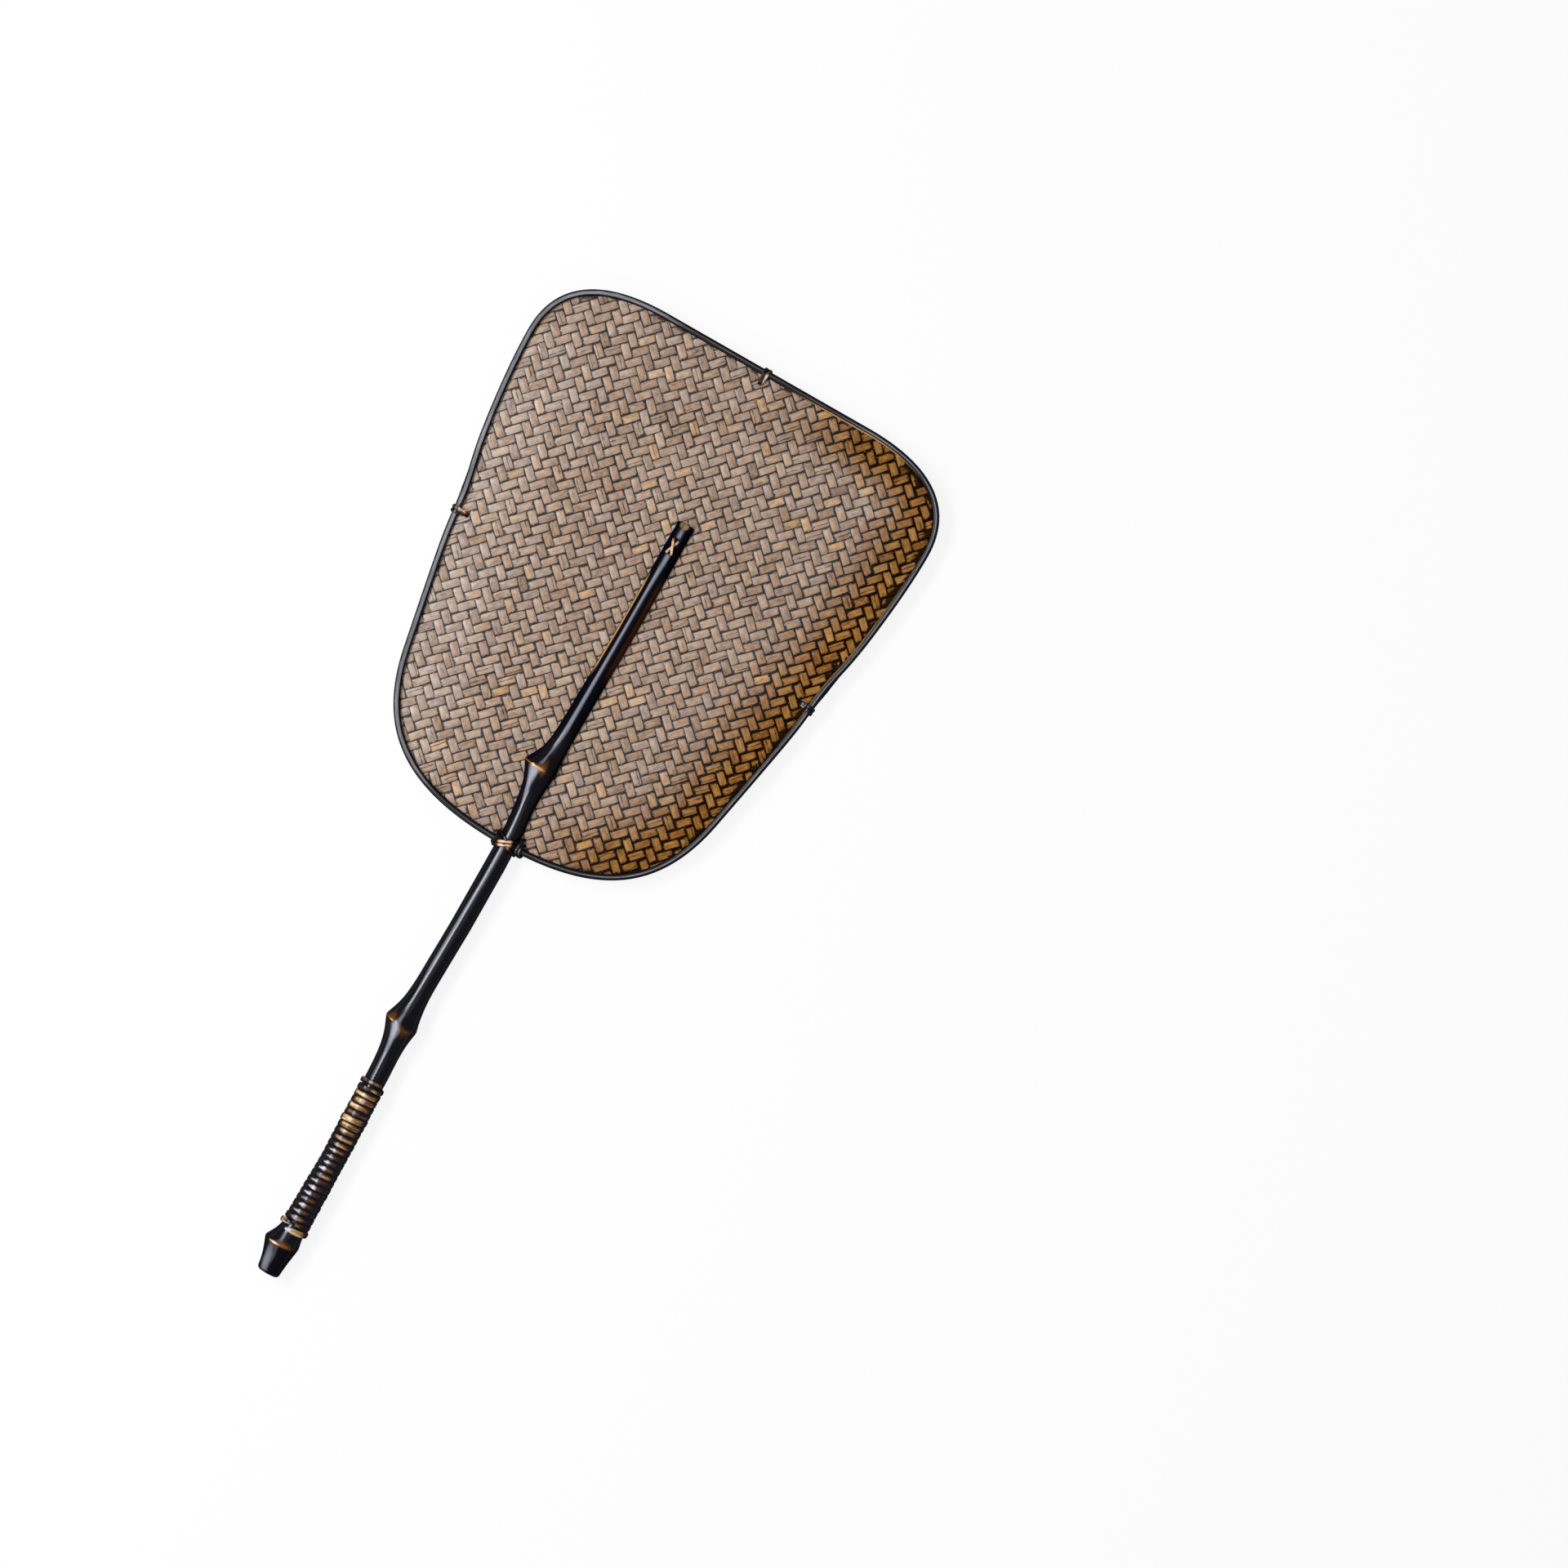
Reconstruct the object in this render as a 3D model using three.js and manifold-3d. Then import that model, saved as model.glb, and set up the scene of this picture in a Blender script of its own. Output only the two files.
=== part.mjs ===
// Woven hand fan. A bamboo handle is slit over its upper half into a front and a back tongue.
// They hold a twill mat between them, two split hoops clamp the mat's edge, and cane ties,
// a crossing lashing, a stitch and a grip winding hold it all together.
// Lengths are in millimetres. While the pieces are laid out, x = 0 is the middle line of the face,
// y = 0 the place where the handle passes the rim, and z = 0 the middle plane of the mat.
import * as THREE from "three";
import { mergeVertices } from "three/addons/utils/BufferGeometryUtils.js";
import Module from "manifold-3d";

const wasm = await Module();
wasm.setup();

// Clearances
const SEAT_GAP = 0.25; // from a piece to the piece that carries it
const TURN_GAP = 0.48; // between neighbouring turns of cane

// Outline of the face, on the outer edge of its rim: three bends and a straight top on each side
const FACE_BELOW_CROSSING = 3;
const FACE_ABOVE_CROSSING = 244.5;
const FACE_HALF_WIDTH = 104.7;
const BELLY_REACH = 49.7; // how far the bottom bend keeps level
const HIP_OUT = 82; // where the bottom bend turns into the side
const HIP_ABOVE_CROSSING = 53.2;
const HIP_ANGLE = THREE.MathUtils.degToRad(78.9);
const HIP_LOWER_REACH = 40.3;
const HIP_UPPER_REACH = 46.2;
const SHOULDER_BELOW_TOP = 37.5; // the widest place of the face
const SHOULDER_LOWER_REACH = 39.2;
const SHOULDER_UPPER_REACH = 24.5;
const TOP_STRAIGHT_HALF = 52.5;
const CORNER_REACH = 34.5;
const RIM_STEPS = 104;

// Mat: a sheet of 2/2 twill, whose floats stand in ridges that run along the handle
const MAT_THICKNESS = 1.3;
const MAT_INSIDE_RIM = 0.6; // from the rim's outer edge to the mat's edge
const TWILL_PITCH = 5.55;
const TWILL_FURROW_WIDTH = 1.5;
const TWILL_FURROW_DEPTH = 0.22;

// Rim hoops
const HOOP_WIDTH = 3;
const HOOP_HEIGHT = 1.9;
const HOOP_SCARF = 10; // length of the slanted joint between a hoop's two ends
const HOOP_SCARF_GAP = 1; // opening of that joint, along the rim

// Handle, a thin length of bamboo: its centre and radius at the places where it bends
const HANDLE_BELOW_CROSSING = 224.9;
const HANDLE_ABOVE_CROSSING = 165.3;
const HANDLE_SIDES = 16;
const RING_SPACING = 14;
const BUTT_EDGE_RADIUS = 1.6;
const TIP_CHAMFER = 0.6;
const BUTT_Y = -HANDLE_BELOW_CROSSING;
const TIP_Y = HANDLE_ABOVE_CROSSING;
const LOWER_GRIP_ABOVE_BUTT = 30;
const MIDDLE_GRIP_ABOVE_BUTT = 60;
const UPPER_GRIP_ABOVE_BUTT = 100;
const TAPER_BELOW_TIP = 65;
const BUTT_RADIUS = 4.95;
const LOWER_GRIP_RADIUS = 5.4;
const MIDDLE_GRIP_RADIUS = 4.85;
const UPPER_GRIP_RADIUS = 4.75;
const CROSSING_RADIUS = 4.95;
const TAPER_RADIUS = 4.85;
const TIP_RADIUS = 4.25;
const STEM = [
  { y: BUTT_Y, x: 5.6, radius: BUTT_RADIUS },
  { y: BUTT_Y + LOWER_GRIP_ABOVE_BUTT, x: 5.85, radius: LOWER_GRIP_RADIUS },
  { y: BUTT_Y + MIDDLE_GRIP_ABOVE_BUTT, x: 5.8, radius: MIDDLE_GRIP_RADIUS },
  { y: BUTT_Y + UPPER_GRIP_ABOVE_BUTT, x: 4.55, radius: UPPER_GRIP_RADIUS },
  { y: 0, x: 3.3, radius: CROSSING_RADIUS },
  { y: TIP_Y - TAPER_BELOW_TIP, x: 2.5, radius: TAPER_RADIUS },
  { y: TIP_Y, x: 2.15, radius: TIP_RADIUS },
];

// Bamboo nodes: each swells to a ridge, throws the stem to the left, and its ridge lies aslant.
// below and above say how fast the swelling dies away, tilt how far the ridge climbs along x and z.
const RIDGE_REACH = 12; // length over which the slant of a ridge dies away
const LOW_NODE_ABOVE_BUTT = 15.8;
const SHAFT_NODE_BELOW_CROSSING = 95.6;
const UPPER_NODE_ABOVE_CROSSING = 36.2;
const LOW_NODE_SWELL = 2.9;
const SHAFT_NODE_SWELL = 3.35;
const UPPER_NODE_SWELL = 2.8;
const NODES = [
  {
    y: BUTT_Y + LOW_NODE_ABOVE_BUTT,
    swell: LOW_NODE_SWELL,
    throwX: -1.3,
    below: 10,
    above: 5.5,
    tiltX: 0.08,
    tiltZ: -0.16,
  },
  {
    y: -SHAFT_NODE_BELOW_CROSSING,
    swell: SHAFT_NODE_SWELL,
    throwX: -1.55,
    below: 6.8,
    above: 6.8,
    tiltX: -0.04,
    tiltZ: -0.24,
  },
  {
    y: UPPER_NODE_ABOVE_CROSSING,
    swell: UPPER_NODE_SWELL,
    throwX: -3.2,
    below: 11,
    above: 7,
    tiltX: -0.09,
    tiltZ: -0.1,
  },
];
const RIDGE_OFFSETS = [-22, -15, -10, -6.5, -4, -2.2, -0.9, 0, 0.9, 2.2, 4, 6.5, 10, 15];

// Cane strands
const STEPS_PER_TURN = 24;
const CANE_SECTION = [
  [-0.5, 0],
  [-0.5, 0.45],
  [-0.26, 1],
  [0.26, 1],
  [0.5, 0.45],
  [0.5, 0],
];

// Grip winding between its two collars, wound as one rising helix
const GRIP_CANE_WIDTH = 2.7;
const GRIP_CANE_HEIGHT = 0.85;
const GRIP_TURNS = 22;
const GRIP_START_ANGLE = THREE.MathUtils.degToRad(120);
const PROUD_TURN = 18.08; // turns from the start of the butt collar
const PROUD_CROWN = 1.6;
const BUTT_COLLAR_FROM_END = 22.3;
const BUTT_COLLAR_WIDTH = 2.85;
const BUTT_COLLAR_HEIGHT = 1.3;
const BUTT_COLLAR_TURNS = 1.08;
const TOP_COLLAR_WIDTH = 2.5;
const TOP_COLLAR_HEIGHT = 1;
const TOP_COLLAR_TURNS = 1.15;
const STRAND_END_GAP = 0.9; // from the end of one strand to the start of the next

// Rim ties: two turns of flat cane each, through the mat and round both hoops
const TIE_WIDTH = 1.7;
const TIE_HEIGHT = 0.7;
const TIE_TURNS = 2;
const TIE_REACH = 7; // from the rim's outer edge to the strand's way through the mat
const TIE_START = 0.62; // share of a turn, on the slope behind the hoop
const SIDE_TIE_Y = 119.6;
const TOP_TIE_X = 0.4;

// Crossing lashing, where the handle passes the rim
const LASHING_WIDTH = 1.7;
const LASHING_HEIGHT = 1.1;

// Stitch near the tip, in a shallow flute that runs out over the end
const STITCH_BELOW_TIP = 12;
const STITCH_X = 1.6;
const STITCH_HALF_LENGTH = 3.1;
const STITCH_HALF_SPREAD = 0.95;
const STITCH_WIDTH = 1.3;
const STITCH_HEIGHT = 0.7;
const FLUTE_DEPTH = 0.8;
const FLUTE_RADIUS = 3.2;
const FLUTE_BELOW_STITCH = 6;

// Heights and places that several pieces share
const MAT_HALF = MAT_THICKNESS / 2;
const HOOP_SEAT = MAT_HALF + SEAT_GAP;
const RIM_HALF_HEIGHT = HOOP_SEAT + HOOP_HEIGHT;
const RIM_MIDDLE_Y = HOOP_WIDTH / 2 - FACE_BELOW_CROSSING;
const SHOULDER_Y = FACE_ABOVE_CROSSING - SHOULDER_BELOW_TOP;
const STITCH_Y = TIP_Y - STITCH_BELOW_TIP;
const ACROSS = new THREE.Vector3(1, 0, 0);
const ALONG = new THREE.Vector3(0, 1, 0);
const UP = new THREE.Vector3(0, 0, 1);

// Materials
const LACQUER = new THREE.MeshStandardMaterial({ color: 0x17131a, roughness: 0.25 });
const WOVEN_BAMBOO = new THREE.MeshStandardMaterial({ color: 0xa5897a, roughness: 0.55 });
const RIM_LACQUER = new THREE.MeshStandardMaterial({ color: 0x2b2a2e, roughness: 0.4 });
const WORN_CANE = new THREE.MeshStandardMaterial({ color: 0x8d6b45, roughness: 0.45 });
const DARK_CANE = new THREE.MeshStandardMaterial({ color: 0x4a372a, roughness: 0.4 });

// Joins rings of equally many points into a closed skin with its faces turned outwards.
function skin(rings, closed = false) {
  const sides = rings[0].length;
  const positions = rings.flat().flatMap((point) => point.toArray());
  const index = [];
  const spans = closed ? rings.length : rings.length - 1;
  for (let r = 0; r < spans; r++) {
    const here = r * sides;
    const next = ((r + 1) % rings.length) * sides;
    for (let k = 0; k < sides; k++) {
      const l = (k + 1) % sides;
      index.push(here + k, here + l, next + k, here + l, next + l, next + k);
    }
  }
  if (!closed) {
    const last = (rings.length - 1) * sides;
    for (let k = 1; k < sides - 1; k++) {
      index.push(0, k + 1, k, last, last + k, last + k + 1);
    }
  }
  const geometry = new THREE.BufferGeometry();
  geometry.setAttribute("position", new THREE.Float32BufferAttribute(positions, 3));
  geometry.setIndex(signedVolume(rings, index) < 0 ? index.reverse() : index);
  return geometry;
}

function signedVolume(rings, index) {
  const points = rings.flat();
  let volume = 0;
  for (let i = 0; i < index.length; i += 3) {
    const [a, b, c] = index.slice(i, i + 3).map((k) => points[k]);
    volume += a.dot(b.clone().cross(c)) / 6;
  }
  return volume;
}

// A closed geometry as a solid that can be cut, and back.
function solid(geometry) {
  const bare = geometry.clone().deleteAttribute("normal").deleteAttribute("uv");
  const merged = mergeVertices(bare, 1e-4);
  return new wasm.Manifold(
    new wasm.Mesh({
      numProp: 3,
      vertProperties: merged.attributes.position.array,
      triVerts: new Uint32Array(merged.index.array),
    }),
  );
}

function shell(cut) {
  const mesh = cut.getMesh();
  const geometry = new THREE.BufferGeometry();
  geometry.setAttribute("position", new THREE.BufferAttribute(mesh.vertProperties, 3));
  geometry.setIndex(new THREE.BufferAttribute(mesh.triVerts, 1));
  return geometry;
}

// A box between two corners.
function block(from, to) {
  const size = to.clone().sub(from);
  const middle = from.clone().add(to).multiplyScalar(0.5);
  return new THREE.BoxGeometry(size.x, size.y, size.z).translate(middle.x, middle.y, middle.z);
}

// The face's outline, anticlockwise from the middle of the bottom, and the same drawn inwards.
function outline(steps) {
  const bottom = -FACE_BELOW_CROSSING;
  const top = FACE_ABOVE_CROSSING;
  const hip = new THREE.Vector2(HIP_OUT, HIP_ABOVE_CROSSING);
  const side = new THREE.Vector2(Math.cos(HIP_ANGLE), Math.sin(HIP_ANGLE));
  const lower = hip.clone().addScaledVector(side, -HIP_LOWER_REACH);
  const upper = hip.clone().addScaledVector(side, HIP_UPPER_REACH);
  const wide = FACE_HALF_WIDTH;
  const half = new THREE.Path();
  half.moveTo(0, bottom);
  half.bezierCurveTo(BELLY_REACH, bottom, lower.x, lower.y, hip.x, hip.y);
  half.bezierCurveTo(upper.x, upper.y, wide, SHOULDER_Y - SHOULDER_LOWER_REACH, wide, SHOULDER_Y);
  const corner = TOP_STRAIGHT_HALF + CORNER_REACH;
  half.bezierCurveTo(wide, SHOULDER_Y + SHOULDER_UPPER_REACH, corner, top, TOP_STRAIGHT_HALF, top);
  half.lineTo(0, top);
  const right = half.getSpacedPoints(steps / 2);
  const left = right.slice(1, -1).reverse();
  return [...right, ...left.map((point) => new THREE.Vector2(-point.x, point.y))];
}

function directions(points) {
  return points.map((_, i) => {
    const next = points[(i + 1) % points.length];
    return next.clone().sub(points.at(i - 1)).normalize();
  });
}

function inset(points, distance) {
  const along = directions(points);
  return points.map(
    (point, i) =>
      new THREE.Vector2(point.x - along[i].y * distance, point.y + along[i].x * distance),
  );
}

// Centre and radius of the handle at a height y.
function handleAt(y) {
  const i = Math.max(1, STEM.findIndex((station) => station.y >= y));
  const from = STEM[i - 1];
  const to = STEM[i];
  const share = THREE.MathUtils.clamp((y - from.y) / (to.y - from.y), 0, 1);
  let x = THREE.MathUtils.lerp(from.x, to.x, share);
  let radius = THREE.MathUtils.lerp(from.radius, to.radius, share);
  for (const node of NODES) {
    const distance = y - node.y;
    const fade = Math.exp(-Math.abs(distance) / (distance < 0 ? node.below : node.above));
    x += node.throwX * fade;
    radius += node.swell * fade;
  }
  return { x, radius };
}

// How far a point of the handle is shifted along it by the slant of the nearest ridge.
function ridgeShift(y, x, z) {
  let shift = 0;
  for (const node of NODES) {
    const fade = Math.max(0, 1 - Math.abs(y - node.y) / RIDGE_REACH);
    shift += fade * (node.tiltX * x + node.tiltZ * z);
  }
  return shift;
}

function handleRing(y, shrink = 0) {
  const { x, radius } = handleAt(y);
  const ring = [];
  for (let k = 0; k < HANDLE_SIDES; k++) {
    const angle = (2 * Math.PI * k) / HANDLE_SIDES;
    const dx = Math.cos(angle) * (radius - shrink);
    const dz = Math.sin(angle) * (radius - shrink);
    ring.push(new THREE.Vector3(x + dx, y + ridgeShift(y, dx, dz), dz));
  }
  return ring;
}

// Heights of the handle's rings: close together at the nodes, wider apart between them.
function handleHeights() {
  const first = BUTT_Y + BUTT_EDGE_RADIUS;
  const last = TIP_Y - TIP_CHAMFER;
  const ridges = NODES.flatMap((node) => RIDGE_OFFSETS.map((offset) => node.y + offset));
  const wanted = ridges.filter((y) => y > first && y < last);
  const heights = [first, ...wanted.sort((a, b) => a - b), last];
  for (let i = 0; i < heights.length - 1; i++) {
    const gap = heights[i + 1] - heights[i];
    if (gap > RING_SPACING) {
      heights.splice(i + 1, 0, heights[i] + gap / Math.ceil(gap / RING_SPACING));
    }
  }
  return heights.filter((y, i) => i === 0 || y - heights[i - 1] > 0.3);
}

// A strand of split cane or bamboo along a route of places, each with its outward direction.
// Its flat side lies on the route, and scarf slants its two ends.
function strand(route, width, height, { closed = false, scarf = 0 } = {}) {
  const rings = route.map((step, i) => {
    const before = route[i - 1] ?? (closed ? route.at(-1) : step);
    const after = route[i + 1] ?? (closed ? route[0] : step);
    const along = after.at.clone().sub(before.at).normalize();
    const across = along.clone().cross(step.out).normalize();
    const out = across.clone().cross(along);
    const isEnd = i === 0 || i === route.length - 1;
    const slant = isEnd && !closed ? scarf : 0;
    return CANE_SECTION.map(([u, v]) =>
      step.at
        .clone()
        .addScaledVector(across, u * width)
        .addScaledVector(out, v * height * (step.crown ?? 1))
        .addScaledVector(along, u * slant),
    );
  });
  return { rings, geometry: skin(rings, closed) };
}

// Gives an open route straight ends, each as long as the strand is thick.
function straightEnds(route, length) {
  const ends = [
    [route[0], route[1]],
    [route.at(-1), route.at(-2)],
  ].map(([end, inner]) => {
    const away = end.at.clone().sub(inner.at).normalize();
    return { ...end, at: end.at.clone().addScaledVector(away, length) };
  });
  return [ends[0], ...route, ends[1]];
}

// Measures and prints the least gap between the turns of a strand.
function reportLeastGap(name, rings) {
  let least = Infinity;
  for (let i = 0; i < rings.length; i++) {
    const reach = Math.min(rings.length, i + STEPS_PER_TURN * 2);
    for (let j = i + STEPS_PER_TURN / 2; j < reach; j++) {
      for (const a of rings[i]) {
        for (const b of rings[j]) least = Math.min(least, a.distanceTo(b));
      }
    }
  }
  console.log(`${name}: least gap between its turns ${least.toFixed(2)} mm`);
}

// Height of the grip's helix after a number of turns from the start of the butt collar.
function gripHeight(turns) {
  const start = BUTT_Y + BUTT_COLLAR_FROM_END;
  const buttPitch = BUTT_COLLAR_WIDTH + TURN_GAP;
  const gripPitch = GRIP_CANE_WIDTH + TURN_GAP;
  const collar = Math.min(turns, BUTT_COLLAR_TURNS);
  return start + collar * buttPitch + (turns - collar) * gripPitch;
}

function gripRoute(from, to, cane) {
  const steps = Math.round((to - from) * STEPS_PER_TURN);
  const route = [];
  for (let i = 0; i <= steps; i++) {
    const turns = from + (i / steps) * (to - from);
    const angle = GRIP_START_ANGLE - turns * 2 * Math.PI;
    const y = gripHeight(turns);
    const { x, radius } = handleAt(y);
    const out = new THREE.Vector3(Math.cos(angle), 0, Math.sin(angle));
    const at = new THREE.Vector3(x, y, 0).addScaledVector(out, radius + SEAT_GAP);
    const nearProud = THREE.MathUtils.clamp(1.2 - 2 * Math.abs(turns - PROUD_TURN), 0, 1);
    route.push({ at, out, crown: 1 + (PROUD_CROWN - 1) * nearProud });
  }
  return straightEnds(route, cane);
}

// Place, tangent and inward direction on the rim's outer edge, nearest to a point.
function rimAt(x, y) {
  const points = outline(RIM_STEPS * 8);
  const along = directions(points);
  const wanted = new THREE.Vector2(x, y);
  let nearest = 0;
  points.forEach((point, i) => {
    if (point.distanceTo(wanted) < points[nearest].distanceTo(wanted)) nearest = i;
  });
  const direction = along[nearest];
  return {
    edge: new THREE.Vector3(points[nearest].x, points[nearest].y, 0),
    along: new THREE.Vector3(direction.x, direction.y, 0),
    inward: new THREE.Vector3(-direction.y, direction.x, 0),
  };
}

const TIES = [
  { name: "rim_tie_top", place: rimAt(TOP_TIE_X, FACE_ABOVE_CROSSING) },
  { name: "rim_tie_left", place: rimAt(-FACE_HALF_WIDTH, SIDE_TIE_Y) },
  { name: "rim_tie_right", place: rimAt(FACE_HALF_WIDTH, SIDE_TIE_Y) },
];

// One turn of a tie, as depth behind the rim's outer edge and height over the mat's middle plane:
// up outside the rim, over the hoop, down to the mat, through it, and the same way back behind it.
function tieTurn() {
  const top = RIM_HALF_HEIGHT + SEAT_GAP;
  const front = [
    [-SEAT_GAP * 0.8, top * 0.6],
    [HOOP_WIDTH * 0.24, top],
    [HOOP_WIDTH * 0.8, top],
    [HOOP_WIDTH + SEAT_GAP * 2, top * 0.72],
    [TIE_REACH - TIE_HEIGHT, MAT_HALF + SEAT_GAP * 2],
  ];
  const back = front.map(([depth, height]) => [depth, -height]).reverse();
  const turn = [[-SEAT_GAP, 0], ...front, [TIE_REACH, 0], ...back];
  return new THREE.CatmullRomCurve3(
    turn.map(([depth, height]) => new THREE.Vector3(depth, 0, height)),
    true,
  );
}

function tieRoute({ edge, along, inward }) {
  const turn = tieTurn();
  const steps = TIE_TURNS * STEPS_PER_TURN;
  const pitch = TIE_WIDTH + TURN_GAP;
  const route = [];
  for (let i = 0; i <= steps; i++) {
    const share = (TIE_START + i / STEPS_PER_TURN) % 1;
    const point = turn.getPointAt(share);
    const tangent = turn.getTangentAt(share);
    const out = new THREE.Vector3().addScaledVector(inward, -tangent.z).addScaledVector(UP, tangent.x);
    const at = edge
      .clone()
      .addScaledVector(inward, point.x)
      .addScaledVector(UP, point.z)
      .addScaledVector(along, pitch * (i / STEPS_PER_TURN - TIE_TURNS / 2));
    route.push({ at, out });
  }
  return route;
}

// A closed strand that crosses itself in front: two slanted runs there, two straight ones behind.
// run is the direction of its runs and side the direction in which the crossing leans.
function crossRoute({ centre, run, side, halfRun, halfSide, front, back, lift, squareness }) {
  const steps = 2 * STEPS_PER_TURN;
  const soften = (value) => Math.sign(value) * Math.abs(value) ** (2 / squareness);
  const route = [];
  for (let i = 0; i < steps; i++) {
    const angle = (4 * Math.PI * (i + 0.5)) / steps;
    const isFront = Math.sin(angle) > 0;
    const isSecond = angle > 2 * Math.PI;
    const hand = isSecond ? -1 : 1;
    const lean = isFront ? -hand * Math.cos(angle) : hand;
    const raise = isSecond ? lift * Math.max(0, Math.sin(angle)) ** 2 : 0;
    const cos = soften(Math.cos(angle));
    const sin = soften(Math.sin(angle));
    const at = centre
      .clone()
      .addScaledVector(run, -halfRun * cos)
      .addScaledVector(side, halfSide * lean)
      .addScaledVector(UP, sin * (isFront ? front : back) + raise);
    const out = new THREE.Vector3()
      .addScaledVector(run, -Math.cos(angle) * Math.abs(cos) ** (squareness - 2))
      .addScaledVector(UP, Math.sin(angle));
    route.push({ at, out });
  }
  return route;
}

function lashing() {
  const { x, radius } = handleAt(RIM_MIDDLE_Y);
  const round = radius + SEAT_GAP * 1.5;
  return {
    centre: new THREE.Vector3(x, RIM_MIDDLE_Y, 0),
    run: ACROSS,
    side: ALONG,
    halfRun: round,
    halfSide: HOOP_WIDTH / 2 + SEAT_GAP * 1.5 + LASHING_WIDTH / 2,
    front: round,
    back: round,
    lift: LASHING_HEIGHT + TURN_GAP,
    squareness: 2,
  };
}

function stitch() {
  const { radius } = handleAt(STITCH_Y);
  return {
    centre: new THREE.Vector3(STITCH_X, STITCH_Y, 0),
    run: ALONG,
    side: ACROSS,
    halfRun: STITCH_HALF_LENGTH,
    halfSide: STITCH_HALF_SPREAD,
    front: radius - FLUTE_DEPTH + SEAT_GAP * 2,
    back: radius + SEAT_GAP * 2,
    lift: STITCH_HEIGHT + TURN_GAP,
    squareness: 6,
  };
}

// Ways through the mat for the ties, the lashing and the stitch.
function tieSlots() {
  const pitch = TIE_WIDTH + TURN_GAP;
  const halfTurns = TIE_TURNS / 2;
  const firstWay = pitch * (1.5 - TIE_START - halfTurns);
  const lastWay = firstWay + pitch * (TIE_TURNS - 1);
  const side = TIE_WIDTH / 2 + SEAT_GAP;
  return TIES.map(({ place }) => {
    const slot = block(
      new THREE.Vector3(firstWay - side, TIE_REACH - SEAT_GAP * 2, -MAT_THICKNESS),
      new THREE.Vector3(lastWay + side, TIE_REACH + TIE_HEIGHT + SEAT_GAP, MAT_THICKNESS),
    );
    const frame = new THREE.Matrix4().makeBasis(place.along, place.inward, UP);
    return slot.applyMatrix4(frame.setPosition(place.edge));
  });
}

function lashingSlots() {
  const { centre, halfRun, halfSide } = lashing();
  const halfWidth = LASHING_WIDTH / 2 + SEAT_GAP;
  return [-1, 1].map((hand) => {
    const near = centre.x + hand * (halfRun - SEAT_GAP);
    const far = centre.x + hand * (halfRun + LASHING_HEIGHT + SEAT_GAP);
    const y = centre.y + halfSide;
    return block(
      new THREE.Vector3(Math.min(near, far), y - halfWidth, -MAT_THICKNESS),
      new THREE.Vector3(Math.max(near, far), y + halfWidth, MAT_THICKNESS),
    );
  });
}

function stitchSlots() {
  const { centre, halfRun, halfSide } = stitch();
  const halfWidth = halfSide + STITCH_WIDTH / 2 + SEAT_GAP;
  const height = 2 * handleAt(STITCH_Y).radius;
  return [-1, 1].map((hand) => {
    const near = centre.y + hand * (halfRun - SEAT_GAP * 3);
    const far = centre.y + hand * (halfRun + STITCH_HEIGHT + SEAT_GAP);
    return block(
      new THREE.Vector3(centre.x - halfWidth, Math.min(near, far), -height),
      new THREE.Vector3(centre.x + halfWidth, Math.max(near, far), height),
    );
  });
}

function handleGeometry() {
  const rings = [];
  const buttSteps = 4;
  for (let i = 0; i < buttSteps; i++) {
    const angle = (Math.PI / 2) * (i / buttSteps);
    const rise = BUTT_EDGE_RADIUS * (1 - Math.cos(angle));
    rings.push(handleRing(BUTT_Y + rise, BUTT_EDGE_RADIUS * (1 - Math.sin(angle))));
  }
  rings.push(...handleHeights().map((y) => handleRing(y)));
  rings.push(handleRing(TIP_Y, TIP_CHAMFER));
  let handle = solid(skin(rings));
  const wide = 4 * STEM[0].radius;
  const { x, radius } = handleAt(RIM_MIDDLE_Y);
  const notchHalf = HOOP_WIDTH / 2 + SEAT_GAP;
  const slitHalf = MAT_HALF + SEAT_GAP;
  const notchHeight = RIM_HALF_HEIGHT + SEAT_GAP;
  const slitBottom = RIM_MIDDLE_Y - notchHalf;
  const cuts = [
    block(
      new THREE.Vector3(x - wide, slitBottom, -slitHalf),
      new THREE.Vector3(x + wide, TIP_Y + radius, slitHalf),
    ),
    block(
      new THREE.Vector3(x - wide, slitBottom, -notchHeight),
      new THREE.Vector3(x + wide, RIM_MIDDLE_Y + notchHalf, notchHeight),
    ),
    fluteGeometry(),
    ...stitchSlots(),
  ];
  for (const cut of cuts) handle = handle.subtract(solid(cut));
  return shell(handle);
}

// The flute's cutter is a round-ended bar along the front tongue, from below the stitch past the tip.
function fluteGeometry() {
  const from = STITCH_Y - STITCH_HALF_LENGTH - FLUTE_BELOW_STITCH;
  const length = TIP_Y - from;
  const bar = new THREE.CapsuleGeometry(FLUTE_RADIUS, length, 6, HANDLE_SIDES);
  const height = handleAt(STITCH_Y).radius - FLUTE_DEPTH + FLUTE_RADIUS;
  return bar.translate(STITCH_X, from + length / 2, height);
}

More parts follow.
